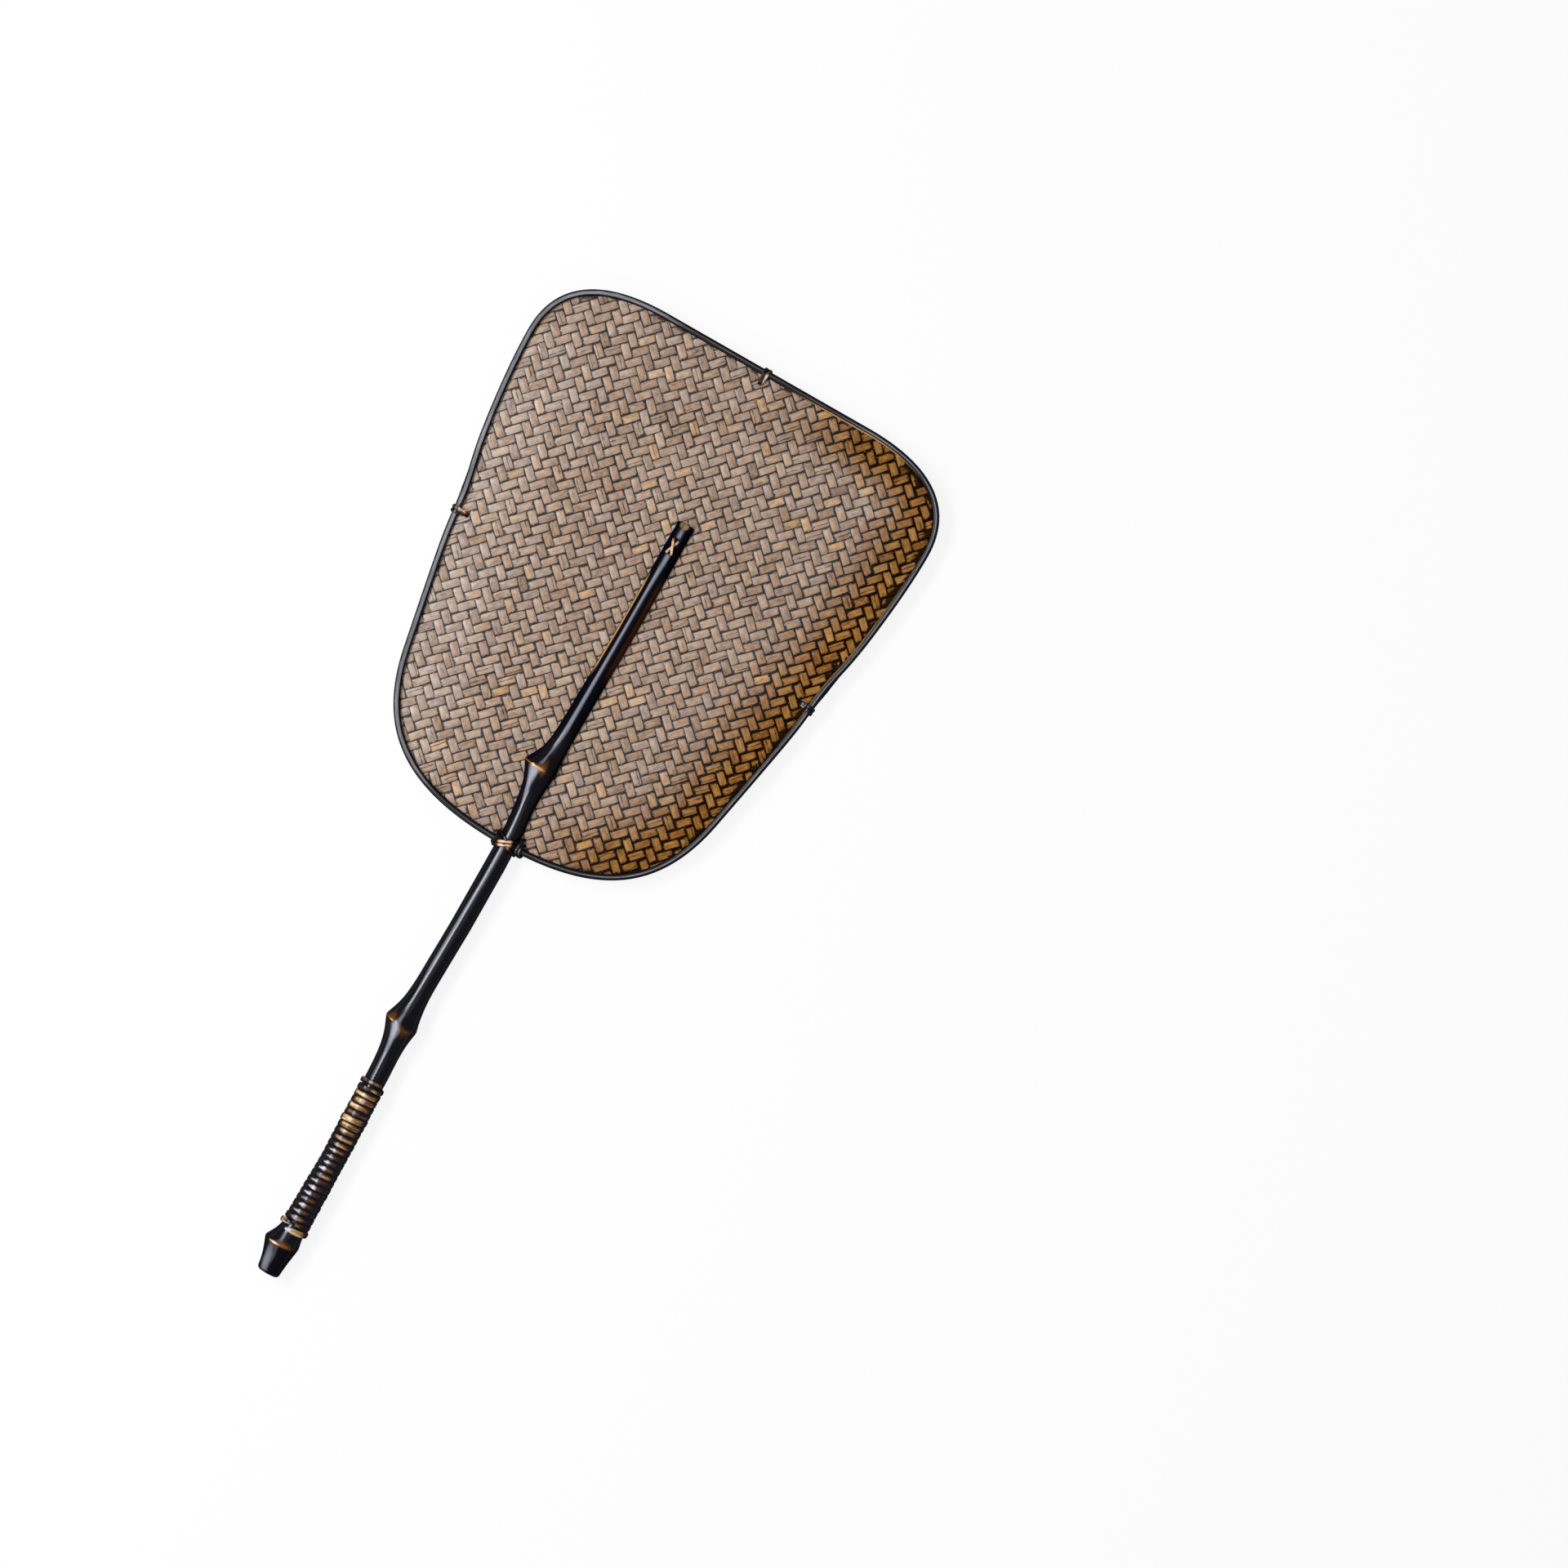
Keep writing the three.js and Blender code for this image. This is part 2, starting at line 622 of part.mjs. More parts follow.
// A sheet of the mat's thickness with furrows along y on both faces.
function twillSheet() {
  const ridges = Math.ceil(FACE_HALF_WIDTH / TWILL_PITCH);
  const face = [];
  for (let i = -ridges; i <= ridges + 1; i++) {
    const furrow = (i - 0.5) * TWILL_PITCH;
    face.push([furrow - TWILL_FURROW_WIDTH / 2, MAT_HALF]);
    face.push([furrow, MAT_HALF - TWILL_FURROW_DEPTH]);
    face.push([furrow + TWILL_FURROW_WIDTH / 2, MAT_HALF]);
  }
  const under = face.map(([x, z]) => [x, -z]).reverse();
  const profile = new THREE.Shape([...face, ...under].map(([x, z]) => new THREE.Vector2(x, z)));
  const depth = FACE_ABOVE_CROSSING + FACE_BELOW_CROSSING;
  const sheet = new THREE.ExtrudeGeometry(profile, { depth, bevelEnabled: false });
  return sheet.rotateX(Math.PI / 2).translate(0, FACE_ABOVE_CROSSING, 0);
}

function matGeometry() {
  const edge = inset(outline(RIM_STEPS), MAT_INSIDE_RIM);
  const blank = new THREE.ExtrudeGeometry(new THREE.Shape(edge), {
    depth: 2 * MAT_THICKNESS,
    bevelEnabled: false,
  }).translate(0, 0, -MAT_THICKNESS);
  let mat = solid(twillSheet()).intersect(solid(blank));
  for (const slot of [...tieSlots(), ...lashingSlots(), ...stitchSlots()]) {
    mat = mat.subtract(solid(slot));
  }
  return shell(mat);
}

// A rim hoop starts and ends at its scarf joint, under a side tie.
function hoopGeometry(face) {
  const middle = inset(outline(RIM_STEPS), HOOP_WIDTH / 2);
  const joint = new THREE.Vector2(-face * FACE_HALF_WIDTH, SIDE_TIE_Y);
  let first = 0;
  middle.forEach((point, i) => {
    if (point.distanceTo(joint) < middle[first].distanceTo(joint)) first = i;
  });
  const turned = [...middle.slice(first), ...middle.slice(0, first + 1)];
  const route = turned.map((point) => ({
    at: new THREE.Vector3(point.x, point.y, face * HOOP_SEAT),
    out: UP.clone().multiplyScalar(face),
  }));
  const end = route.at(-1);
  const away = end.at.clone().sub(route.at(-2).at).normalize();
  end.at = end.at.clone().addScaledVector(away, -HOOP_SCARF_GAP);
  return strand(route, HOOP_WIDTH, HOOP_HEIGHT, { scarf: HOOP_SCARF }).geometry;
}

function coilGeometry(name, route, width, height) {
  const { rings, geometry } = strand(route, width, height);
  reportLeastGap(name, rings);
  return geometry;
}

const fan = new THREE.Group();

function place(name, geometry, material) {
  geometry.computeVertexNormals();
  const mesh = new THREE.Mesh(geometry, material);
  mesh.name = name;
  fan.add(mesh);
}

place("bamboo_handle", handleGeometry(), LACQUER);
place("woven_mat", matGeometry(), WOVEN_BAMBOO);
place("rim_hoop_front", hoopGeometry(1), RIM_LACQUER);
place("rim_hoop_back", hoopGeometry(-1), RIM_LACQUER);

for (const tie of TIES) {
  const geometry = coilGeometry(tie.name, tieRoute(tie.place), TIE_WIDTH, TIE_HEIGHT);
  place(tie.name, geometry, WORN_CANE);
}

const crossing = strand(crossRoute(lashing()), LASHING_WIDTH, LASHING_HEIGHT, { closed: true });
place("crossing_lashing", crossing.geometry, WORN_CANE);

const eight = strand(crossRoute(stitch()), STITCH_WIDTH, STITCH_HEIGHT, { closed: true });
place("tip_stitch", eight.geometry, WORN_CANE);

// The grip's three strands follow one another along the same helix, end behind end.
const GRIP_STRANDS = [
  {
    name: "grip_collar_butt",
    turns: BUTT_COLLAR_TURNS,
    width: BUTT_COLLAR_WIDTH,
    height: BUTT_COLLAR_HEIGHT,
  },
  {
    name: "grip_winding",
    turns: GRIP_TURNS,
    width: GRIP_CANE_WIDTH,
    height: GRIP_CANE_HEIGHT,
  },
  {
    name: "grip_collar_top",
    turns: TOP_COLLAR_TURNS,
    width: TOP_COLLAR_WIDTH,
    height: TOP_COLLAR_HEIGHT,
  },
];
let from = 0;
GRIP_STRANDS.forEach(({ name, turns, width, height }, i) => {
  const to = from + turns;
  const geometry = coilGeometry(name, gripRoute(from, to, height), width, height);
  place(name, geometry, DARK_CANE);
  const oneTurn = 2 * Math.PI * handleAt(gripHeight(to)).radius;
  const nextHeight = GRIP_STRANDS[i + 1]?.height ?? 0;
  from = to + (height + nextHeight + STRAND_END_GAP) / oneTurn;
});

// The finished fan lies on its back: the origin is the middle of the underside of its bounds.
const bounds = new THREE.Box3().setFromObject(fan);
const middle = bounds.getCenter(new THREE.Vector3());
fan.position.set(-middle.x, -middle.y, -bounds.min.z);

const part = new THREE.Group();
part.add(fan);

export default part;
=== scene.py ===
"""Looks of a woven hand fan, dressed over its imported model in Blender 4.5.

Sizes are in millimetres in the maker's layout: x = 0 is the middle line of the face, y = 0 the
place where the handle passes the rim, and z = 0 the middle plane of the mat. A finished piece is
moved to the frame's metres in its mesh.
"""

import logging
import math
from collections.abc import Sequence
from dataclasses import astuple, dataclass
from enum import Enum

import bmesh
import bpy
import numpy as np
from mathutils import Matrix, Vector
from mathutils.kdtree import KDTree

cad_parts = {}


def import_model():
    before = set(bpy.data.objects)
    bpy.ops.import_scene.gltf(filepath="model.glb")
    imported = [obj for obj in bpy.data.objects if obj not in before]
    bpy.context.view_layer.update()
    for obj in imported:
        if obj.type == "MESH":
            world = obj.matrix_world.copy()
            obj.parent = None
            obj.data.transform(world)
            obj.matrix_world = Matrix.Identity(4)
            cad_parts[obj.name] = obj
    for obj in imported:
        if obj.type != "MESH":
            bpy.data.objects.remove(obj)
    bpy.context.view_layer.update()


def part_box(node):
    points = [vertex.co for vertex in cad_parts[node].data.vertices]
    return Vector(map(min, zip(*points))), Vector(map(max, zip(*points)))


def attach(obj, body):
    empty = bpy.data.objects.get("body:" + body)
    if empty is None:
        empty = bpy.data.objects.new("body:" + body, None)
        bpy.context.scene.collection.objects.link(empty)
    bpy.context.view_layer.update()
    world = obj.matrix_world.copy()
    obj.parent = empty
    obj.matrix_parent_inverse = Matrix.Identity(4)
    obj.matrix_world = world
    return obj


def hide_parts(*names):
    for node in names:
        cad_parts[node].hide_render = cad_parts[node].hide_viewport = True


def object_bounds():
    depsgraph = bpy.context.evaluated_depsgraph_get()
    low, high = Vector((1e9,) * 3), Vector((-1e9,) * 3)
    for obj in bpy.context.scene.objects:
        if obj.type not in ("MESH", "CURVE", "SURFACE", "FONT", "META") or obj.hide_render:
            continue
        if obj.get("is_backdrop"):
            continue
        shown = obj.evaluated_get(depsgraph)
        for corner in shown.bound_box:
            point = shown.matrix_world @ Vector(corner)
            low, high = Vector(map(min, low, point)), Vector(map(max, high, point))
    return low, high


LOG = logging.getLogger("hand_fan")
METRE = 1000.0
BODY = "root"
ACROSS = Vector((1, 0, 0))
ALONG = Vector((0, 1, 0))
UP = Vector((0, 0, 1))

Colour = tuple[float, float, float]


def smooth_step(values: np.ndarray, low: float, high: float) -> np.ndarray:
    """Rises smoothly from 0 at low to 1 at high."""
    share = np.clip((values - low) / (high - low), 0.0, 1.0)
    return share * share * (3 - 2 * share)


def bell(values: np.ndarray, centre: float, width: float) -> np.ndarray:
    """A bump of height 1 at centre that dies away over a width."""
    return np.exp(-(((values - centre) / width) ** 2))


class Side(Enum):
    """The two faces of the fan."""

    FRONT = 1
    BACK = -1


class Slot(Enum):
    """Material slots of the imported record."""

    HANDLE = "black_lacquered_bamboo"
    MAT = "woven_bamboo"
    RIM = "rim_bamboo"
    WORN_CANE = "worn_cane"
    DARK_CANE = "lacquered_cane"


class Value:
    """A number in a shader, on which Python's arithmetic adds Math nodes."""

    def __init__(self, graph: "Graph", socket: bpy.types.NodeSocket) -> None:
        """Wraps an output socket of a node graph."""
        self.graph = graph
        self.socket = socket

    def math(self, operation: str, *terms: "Value | float") -> "Value":
        """Adds one Math node.

        Args:
            operation: The Math node's operation.
            terms: What goes into its sockets, in order.

        Returns:
            The node's result.
        """
        wired = {i: term for i, term in enumerate(terms)}
        return self.graph.node("ShaderNodeMath", {"operation": operation}, wired)

    def __add__(self, other: "Value | float") -> "Value":
        """Sum."""
        return self.math("ADD", self, other)

    def __radd__(self, other: float) -> "Value":
        """Sum with a plain number on the left."""
        return self.math("ADD", other, self)

    def __sub__(self, other: "Value | float") -> "Value":
        """Difference."""
        return self.math("SUBTRACT", self, other)

    def __rsub__(self, other: float) -> "Value":
        """Difference from a plain number."""
        return self.math("SUBTRACT", other, self)

    def __mul__(self, other: "Value | float") -> "Value":
        """Product."""
        return self.math("MULTIPLY", self, other)

    def __rmul__(self, other: float) -> "Value":
        """Product with a plain number on the left."""
        return self.math("MULTIPLY", other, self)

    def __pow__(self, other: "Value | float") -> "Value":
        """Power."""
        return self.math("POWER", self, other)

    def __abs__(self) -> "Value":
        """Size without its sign."""
        return self.math("ABSOLUTE", self)

    def larger(self, other: "Value | float") -> "Value":
        """The larger of two numbers."""
        return self.math("MAXIMUM", self, other)

    def rise(self, low: float, high: float) -> "Value":
        """Rises smoothly from 0 at low to 1 at high."""
        wired = {"Value": self, "From Min": low, "From Max": high}
        return self.graph.node("ShaderNodeMapRange", {"interpolation_type": "SMOOTHSTEP"}, wired)

    def torn(self, noise: "Value") -> "Value":
        """This level broken up by noise around 0, most where it is high."""
        return self + noise * self


class Graph:
    """The node tree of one material, with a Principled shader on its output."""

    def __init__(self, name: str) -> None:
        """Makes an empty material.

        Args:
            name: The material's name.
        """
        self.material = bpy.data.materials.new(name)
        self.material.use_nodes = True
        self.tree = self.material.node_tree
        self.tree.nodes.clear()

    def wire(self, node: bpy.types.Node, sockets: dict[str | int, object]) -> None:
        """Sets or links a node's input sockets.

        Args:
            node: The node.
            sockets: A value, a shader number or a socket for each input's name or place.
        """
        for key, given in sockets.items():
            target = node.inputs[key]
            source = given.socket if isinstance(given, Value) else given
            if isinstance(source, bpy.types.NodeSocket):
                self.tree.links.new(source, target)
            elif isinstance(source, tuple) and len(source) == 3 and target.type == "RGBA":
                target.default_value = (*source, 1.0)
            else:
                target.default_value = source

    def node(
        self,
        kind: str,
        settings: dict[str, object],
        sockets: dict[str | int, object],
        output: str | int = 0,
    ) -> Value:
        """Adds a node.

        Args:
            kind: The node's type.
            settings: Its properties, set first; "stops" holds a ramp's places and colours.
            sockets: Values or links of its inputs.
            output: The output that is wanted.

        Returns:
            That output.
        """
        node = self.tree.nodes.new(kind)
        for name, value in settings.items():
            if name == "stops":
                self.set_stops(node.color_ramp, value)
            else:
                setattr(node, name, value)
        self.wire(node, sockets)
        return Value(self, node.outputs[output])

    def set_stops(self, ramp: bpy.types.ColorRamp, stops: Sequence[tuple[float, Colour]]) -> None:
        """Sets the stops of a colour ramp.

        Args:
            ramp: The ramp.
            stops: Each stop's place and colour.
        """
        while len(ramp.elements) < len(stops):
            ramp.elements.new(0.5)
        for element, (place, colour) in zip(ramp.elements, stops):
            element.position = place
            element.color = (*colour, 1.0)

    def attribute(self, name: str, output: str = "Fac") -> Value:
        """Reads a piece's own attribute."""
        return self.node("ShaderNodeAttribute", {"attribute_name": name}, {}, output)

    def outputs(self, value: Value, *keys: str | int) -> list[Value]:
        """The named outputs of the node that gives a value."""
        return [Value(self, value.socket.node.outputs[key]) for key in keys]

    def parts(self, vector: Value) -> list[Value]:
        """Splits a vector into its three numbers."""
        return self.outputs(self.node("ShaderNodeSeparateXYZ", {}, {0: vector}), 0, 1, 2)

    def place(self, scale: tuple[float, float, float]) -> Value:
        """Object coordinates in millimetres, stretched by a scale."""
        coordinates = self.node("ShaderNodeTexCoord", {}, {}, "Object")
        return self.stretch(coordinates, tuple(METRE * axis for axis in scale))

    def stretch(self, vector: Value, scale: tuple[float, float, float]) -> Value:
        """A vector times a scale for each axis."""
        return self.node("ShaderNodeVectorMath", {"operation": "MULTIPLY"}, {0: vector, 1: scale})

    def noise(self, vector: Value, detail: float = 2.0, roughness: float = 0.5) -> Value:
        """Plain noise with one lump per unit of its vector."""
        wired = {"Vector": vector, "Scale": 1.0, "Detail": detail, "Roughness": roughness}
        return self.node("ShaderNodeTexNoise", {}, wired)

    def mix(self, share: Value | float, first: object, second: object) -> Value:
        """Mixes two colours."""
        wired = {0: share, 6: first, 7: second}
        return self.node("ShaderNodeMix", {"data_type": "RGBA"}, wired, 2)

    def bump(self, height: Value, depth: float) -> Value:
        """A bumpy normal from a height of 0 to 1, whose depth is in millimetres."""
        wired = {"Height": height, "Distance": depth / METRE, "Strength": 1.0}
        return self.node("ShaderNodeBump", {}, wired)

    def finish(
        self,
        colour: Value,
        roughness: Value | float,
        coat: Value,
        coat_roughness: float,
        relief: Value,
    ) -> bpy.types.Material:
        """Adds the Principled shader, which shines by its coat alone, and the output.

        Args:
            colour: The base colour.
            roughness: The roughness under the coat.
            coat: The weight of the coat.
            coat_roughness: The coat's own roughness.
            relief: The bumpy normal.

        Returns:
            The finished material.
        """
        sockets = {
            "Base Color": colour,
            "Roughness": roughness,
            "Specular IOR Level": 0.0,
            "Coat Weight": coat,
            "Coat Roughness": coat_roughness,
            "Normal": relief,
        }
        self.show(self.node("ShaderNodeBsdfPrincipled", {}, sockets))
        return self.material

    def show(self, shader: Value) -> None:
        """Puts a shader on the material's output."""
        output = self.tree.nodes.new("ShaderNodeOutputMaterial")
        self.tree.links.new(shader.socket, output.inputs["Surface"])


@dataclass(frozen=True)
class BlackLacquer:
    """Deep black lacquer on bamboo, worn to gold and rust where the maker's marks say."""

    name: str = "black_lacquer"
    black: Colour = (0.002, 0.002, 0.0055)
    brown: Colour = (0.075, 0.022, 0.005)
    rust: Colour = (0.21, 0.082, 0.022)
    gold: Colour = (0.62, 0.35, 0.12)
    cream: Colour = (0.86, 0.74, 0.56)
    bare: Colour = (0.33, 0.21, 0.095)
    bare_grain: Colour = (0.12, 0.068, 0.03)
    # Painted highlight: pale streaks of reflected light, painted into the base colour.
    painted_glint: Colour = (0.43, 0.43, 0.53)

    def make(self) -> bpy.types.Material:
        """Builds the material, which reads wear (gold, rust and bare wood), the painted highlight
        and gloss.
        """
        graph = Graph(self.name)
        gold, rust, bare = graph.parts(graph.attribute("wear", "Vector"))
        fibre = graph.noise(graph.place((2.2, 0.16, 2.2)), 3.0, 0.6)
        speck = graph.noise(graph.place((1.1, 0.9, 1.1)), 2.0)
        ragged = (fibre - 0.5) * 1.1 + (speck - 0.5) * 0.5
        red = rust.torn(ragged * 0.9)
        base = graph.mix(red.rise(0.1, 0.65), self.black, self.brown)
        base = graph.mix(red.rise(0.5, 1.15), base, self.rust)
        # Painted highlight, mixed over the lacquer and its rust.
        painted_glint = graph.attribute("painted_glint")
        base = graph.mix(painted_glint.torn(ragged * 0.4), base, self.painted_glint)
        base = graph.mix(gold.torn(ragged * 0.5).rise(0.2, 0.85), base, self.gold)
        base = graph.mix(gold.torn(ragged * 0.3).rise(0.76, 1.0), base, self.cream)
        tan = graph.mix(fibre.rise(0.3, 0.7), self.bare, self.bare_grain)
        base = graph.mix(bare.torn(ragged * 0.6).rise(0.3, 0.7), base, tan)
        wear = gold.larger(rust * 0.6).larger(bare).larger(painted_glint)
        coat = graph.attribute("gloss") * (0.66 - wear * 0.3)
        return graph.finish(base, 0.5, coat, 0.17, graph.bump(fibre + speck * 0.6, 0.012))


@dataclass(frozen=True)
class StripBamboo:
    """Lacquered bamboo strips, rubbed back to the wood where they stand proud."""

    name: str
    deep: Colour = (0.115, 0.040, 0.008)
    wood: Colour = (0.235, 0.102, 0.024)
    pale: Colour = (0.40, 0.215, 0.072)
    gold: Colour = (0.62, 0.30, 0.055)
    stained: Colour = (0.050, 0.019, 0.005)
    lacquer: Colour = (0.010, 0.004, 0.001)
    warm: Colour = (0.46, 0.185, 0.066)
    # Grey patches, partly painted reflection: they grow where the painted sheen is high.
    cool: Colour = (0.20, 0.165, 0.145)
    # Painted reflection: the pale veil of the lamp's sheen, painted into the base colour.
    painted_reflection: Colour = (0.83, 0.77, 0.73)

    def make(self) -> bpy.types.Material:
        """Builds the material, which reads fibre, rub, tone, the gloss and painted sheen, and the
        painted shade by the rim.
        """
        graph = Graph(self.name)
        fibre = graph.attribute("fibre", "Vector")
        across, along, split = graph.parts(graph.attribute("rub", "Vector"))
        tone, gilt, lustre = graph.parts(graph.attribute("tone", "Vector"))
        # Where the lacquer shines: drives the coat and a painted reflection in the base colour.
        gloss_and_painted_sheen = graph.attribute("gloss_and_painted_sheen")
        grain = graph.noise(graph.stretch(fibre, (3.0, 0.15, 1.0)), 3.0, 0.6)
        streak = graph.noise(graph.stretch(fibre, (1.4, 0.07, 1.3)), 2.0)
        blotch = graph.noise(graph.stretch(fibre, (0.55, 0.30, 2.1)), 3.0, 0.6)
        light = tone + (grain - 0.5) * 1.9 + (streak - 0.5) * 1.3 + (blotch - 0.5) * 0.9
        stops = [(0.0, self.deep), (0.48, self.wood), (1.0, self.pale)]
        wood = graph.node("ShaderNodeValToRGB", {"stops": stops}, {0: light})
        tint = graph.noise(graph.stretch(fibre, (0.62, 0.42, 3.7)), 2.0, 0.6)
        wood = graph.mix(tint.rise(0.50, 0.72) * 0.62, wood, self.warm)
        # Grey patches, stronger where the painted sheen is high.
        cool = (1.0 - tint).rise(0.52, 0.74) * (0.12 + gloss_and_painted_sheen * 0.55)
        wood = graph.mix(cool, wood, self.cool)
        # More gold where the painted sheen is low.
        leaf = gilt + (1.0 - gloss_and_painted_sheen) * 0.22
        wood = graph.mix(leaf * (blotch * 1.6 - 0.3), wood, self.gold)
        corner = (across**10.0 + along**10.0) ** 0.1
        brush = (streak - 0.5) * 0.75 + (grain - 0.5) * 0.55 + (blotch - 0.5) * 0.9
        # Float edges darken further where the painted sheen is low: painted shade in the gaps.
        edge = corner + brush * (0.16 + along * along * 0.45) + (1.0 - gloss_and_painted_sheen) * 0.075
        crack = 1.0 - (abs(split) + (blotch - 0.5) * 0.5).rise(0.04, 0.22)
        # Painted shade along the rim, deepest by the right-hand side, broken up float by float.
        painted_rim_shade = graph.attribute("painted_rim_shade")
        ragged = ((blotch - 0.5) * 2.0 + (grain - 0.5) * 0.9) * painted_rim_shade.rise(0.0, 0.25)
        rim_shade_mask = (painted_rim_shade + ragged * 0.8 - lustre * 0.85).rise(-0.08, 0.2)
        base = graph.mix(edge.rise(0.74, 0.95) * 0.75, wood, self.stained)
        dark = edge.rise(0.89, 0.99).larger(crack).larger(rim_shade_mask * 0.97)
        base = graph.mix(dark, base, self.lacquer)
        # Painted reflection: a pale veil mixed into the colour where the painted sheen is, less in
        # the dark gaps.
        patch = 0.88 + (blotch - 0.5) * 1.5 + (lustre - 0.5) * 0.4
        base = graph.mix(gloss_and_painted_sheen * patch * (1.0 - dark * 0.79) * 0.34, base, self.painted_reflection)
        coat = gloss_and_painted_sheen * patch * (1.0 - dark * 0.75)
        relief = graph.bump(grain * 0.5 + streak * 0.5, 0.05)
        return graph.finish(base, 0.46 + grain * 0.16, coat, 0.38, relief)


@dataclass(frozen=True)
class RimBamboo:
    """Split bamboo of the rim, lacquered black with fine fibres along it."""

    name: str = "rim_lacquer"
    black: Colour = (0.004, 0.004, 0.006)
    brown: Colour = (0.028, 0.014, 0.009)
    gold: Colour = (0.62, 0.36, 0.14)
    # Painted highlight: the pale reflection line along the hoop.
    highlight_grey: Colour = (0.36, 0.37, 0.43)

    def make(self) -> bpy.types.Material:
        """Builds the material, which reads the strand attributes: lie, wear, the painted highlight
        and gloss.
        """
        graph = Graph(self.name)
        lie = graph.attribute("lie", "Vector")
        fibre = graph.noise(graph.stretch(lie, (3.4, 0.12, 1.0)), 3.0, 0.6)
        wear = graph.attribute("wear")
        base = graph.mix(fibre.rise(0.48, 0.80), self.black, self.brown)
        patch = graph.noise(graph.stretch(lie, (0.4, 0.05, 0.4)), 2.0)
        # Painted highlight line, broken by fibres and patches.
        painted_glint = graph.attribute("painted_glint")
        streak = painted_glint.torn((fibre - 0.5) * 0.9 + (patch - 0.5) * 1.2)
        base = graph.mix(streak.rise(0.0, 1.0), base, self.highlight_grey)
        base = graph.mix(wear.torn((fibre - 0.5) * 0.5).rise(0.25, 0.75), base, self.gold)
        coat = graph.attribute("gloss") * 0.4
        return graph.finish(base, 0.5, coat, 0.22, graph.bump(fibre, 0.04))


@dataclass(frozen=True)
class Cane:
    """Split cane, lacquered dark and rubbed back to gold where hands and knots wear it."""

    name: str
    dark: Colour = (0.007, 0.005, 0.009)
    brown: Colour = (0.11, 0.045, 0.018)
    gold: Colour = (0.48, 0.27, 0.09)
    olive: Colour = (0.25, 0.17, 0.04)
    cream: Colour = (0.78, 0.57, 0.39)
    # Painted highlight: pale spots of reflected light on the strands.
    painted_glint: Colour = (0.70, 0.65, 0.72)
    olive_share: float = 0.0

    def make(self) -> bpy.types.Material:
        """Builds the material, which reads the strand attributes: lie, wear, the painted highlight
        and gloss.
        """
        graph = Graph(self.name)
        lie = graph.attribute("lie", "Vector")
        wear = graph.attribute("wear")
        fibre = graph.noise(graph.stretch(lie, (3.2, 0.22, 1.0)), 3.0, 0.6)
        blotch = graph.noise(graph.stretch(lie, (0.9, 0.35, 1.7)), 2.0)
        lines = graph.noise(graph.stretch(lie, (1.6, 0.09, 2.3)), 2.0, 0.6)
        worn = wear.torn(fibre - 0.5 + (blotch - 0.5) * 0.8 + (lines - 0.5) * 2.2)
        green = graph.noise(graph.stretch(lie, (0.5, 0.12, 2.9)), 1.0)
        gold = graph.mix(green.rise(0.42, 0.62) * self.olive_share, self.gold, self.olive)
        base = graph.mix(worn.rise(0.10, 0.42), self.dark, self.brown)
        base = graph.mix(worn.rise(0.35, 0.72), base, gold)
        base = graph.mix(worn.rise(0.66, 0.98), base, self.cream)
        # Painted highlight mixed into the base colour.
        painted_glint = graph.attribute("painted_glint")
        shine = painted_glint.torn((fibre - 0.5) * 0.8 + (blotch - 0.5) * 0.8)
        base = graph.mix(shine.rise(0.1, 0.95), base, self.painted_glint)
        coat = graph.attribute("gloss") * 0.6
        return graph.finish(base, 0.5, coat, 0.24, graph.bump(fibre, 0.06))


@dataclass
class Workbench:
    """Turns finished meshes into pieces of the object."""

    placement: Matrix

    def piece(
        self,
        name: str,
        mesh: bmesh.types.BMesh,
        material: bpy.types.Material,
        replaced: Sequence[str] = (),
        marks: dict[str, np.ndarray] | None = None,
        sharp: float = 38.0,
    ) -> None:
        """Moves a mesh to its place and makes it a piece that rides on the body.

        Args:
            name: The piece's name.
            mesh: Its mesh, in layout millimetres.
            material: Its finish.
            replaced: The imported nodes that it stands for.
            marks: Attributes of its points, one number or one vector for each.
            sharp: Angle in degrees from which an edge stays crisp.
        """
        bmesh.ops.transform(mesh, matrix=self.placement, verts=mesh.verts)
        for edge in mesh.edges:
            edge.smooth = edge.calc_face_angle(math.pi) < math.radians(sharp)
        for face in mesh.faces:
            face.smooth = True
        data = bpy.data.meshes.new(name)
        mesh.to_mesh(data)
        mesh.free()
        for mark, values in (marks or {}).items():
            kind = "FLOAT" if values.ndim == 1 else "FLOAT_VECTOR"
            field_name = "value" if values.ndim == 1 else "vector"
            attribute = data.attributes.new(mark, kind, "POINT")
            attribute.data.foreach_set(field_name, values.astype(np.float32).ravel())
        data.materials.append(material)
        made = bpy.data.objects.new(name, data)
        bpy.context.scene.collection.objects.link(made)
        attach(made, BODY)
        if replaced:
            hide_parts(*replaced)
        triangles = sum(len(face.vertices) - 2 for face in data.polygons)
        LOG.info("%s: %d triangles", name, triangles)


def points_of(mesh: bmesh.types.BMesh) -> np.ndarray:
    """The places of a mesh's points, one row each."""
    return np.array([vert.co[:] for vert in mesh.verts])


def gloss_of(mesh: bmesh.types.BMesh) -> np.ndarray:
    """Lustre of a mesh's points: full where they face up or down, and dull on the flanks.

    Args:
        mesh: The mesh.

    Returns:
        A number from 0.1 to 1 for each point.
    """
    mesh.normal_update()
    facing = np.abs(np.array([vert.normal.z for vert in mesh.verts]))
    return 0.1 + 0.9 * smooth_step(facing, 0.5, 0.88)


def move_points(mesh: bmesh.types.BMesh, places: np.ndarray) -> None:
    """Puts a mesh's points at new places."""
    for vert, place in zip(mesh.verts, places):
        vert.co = place


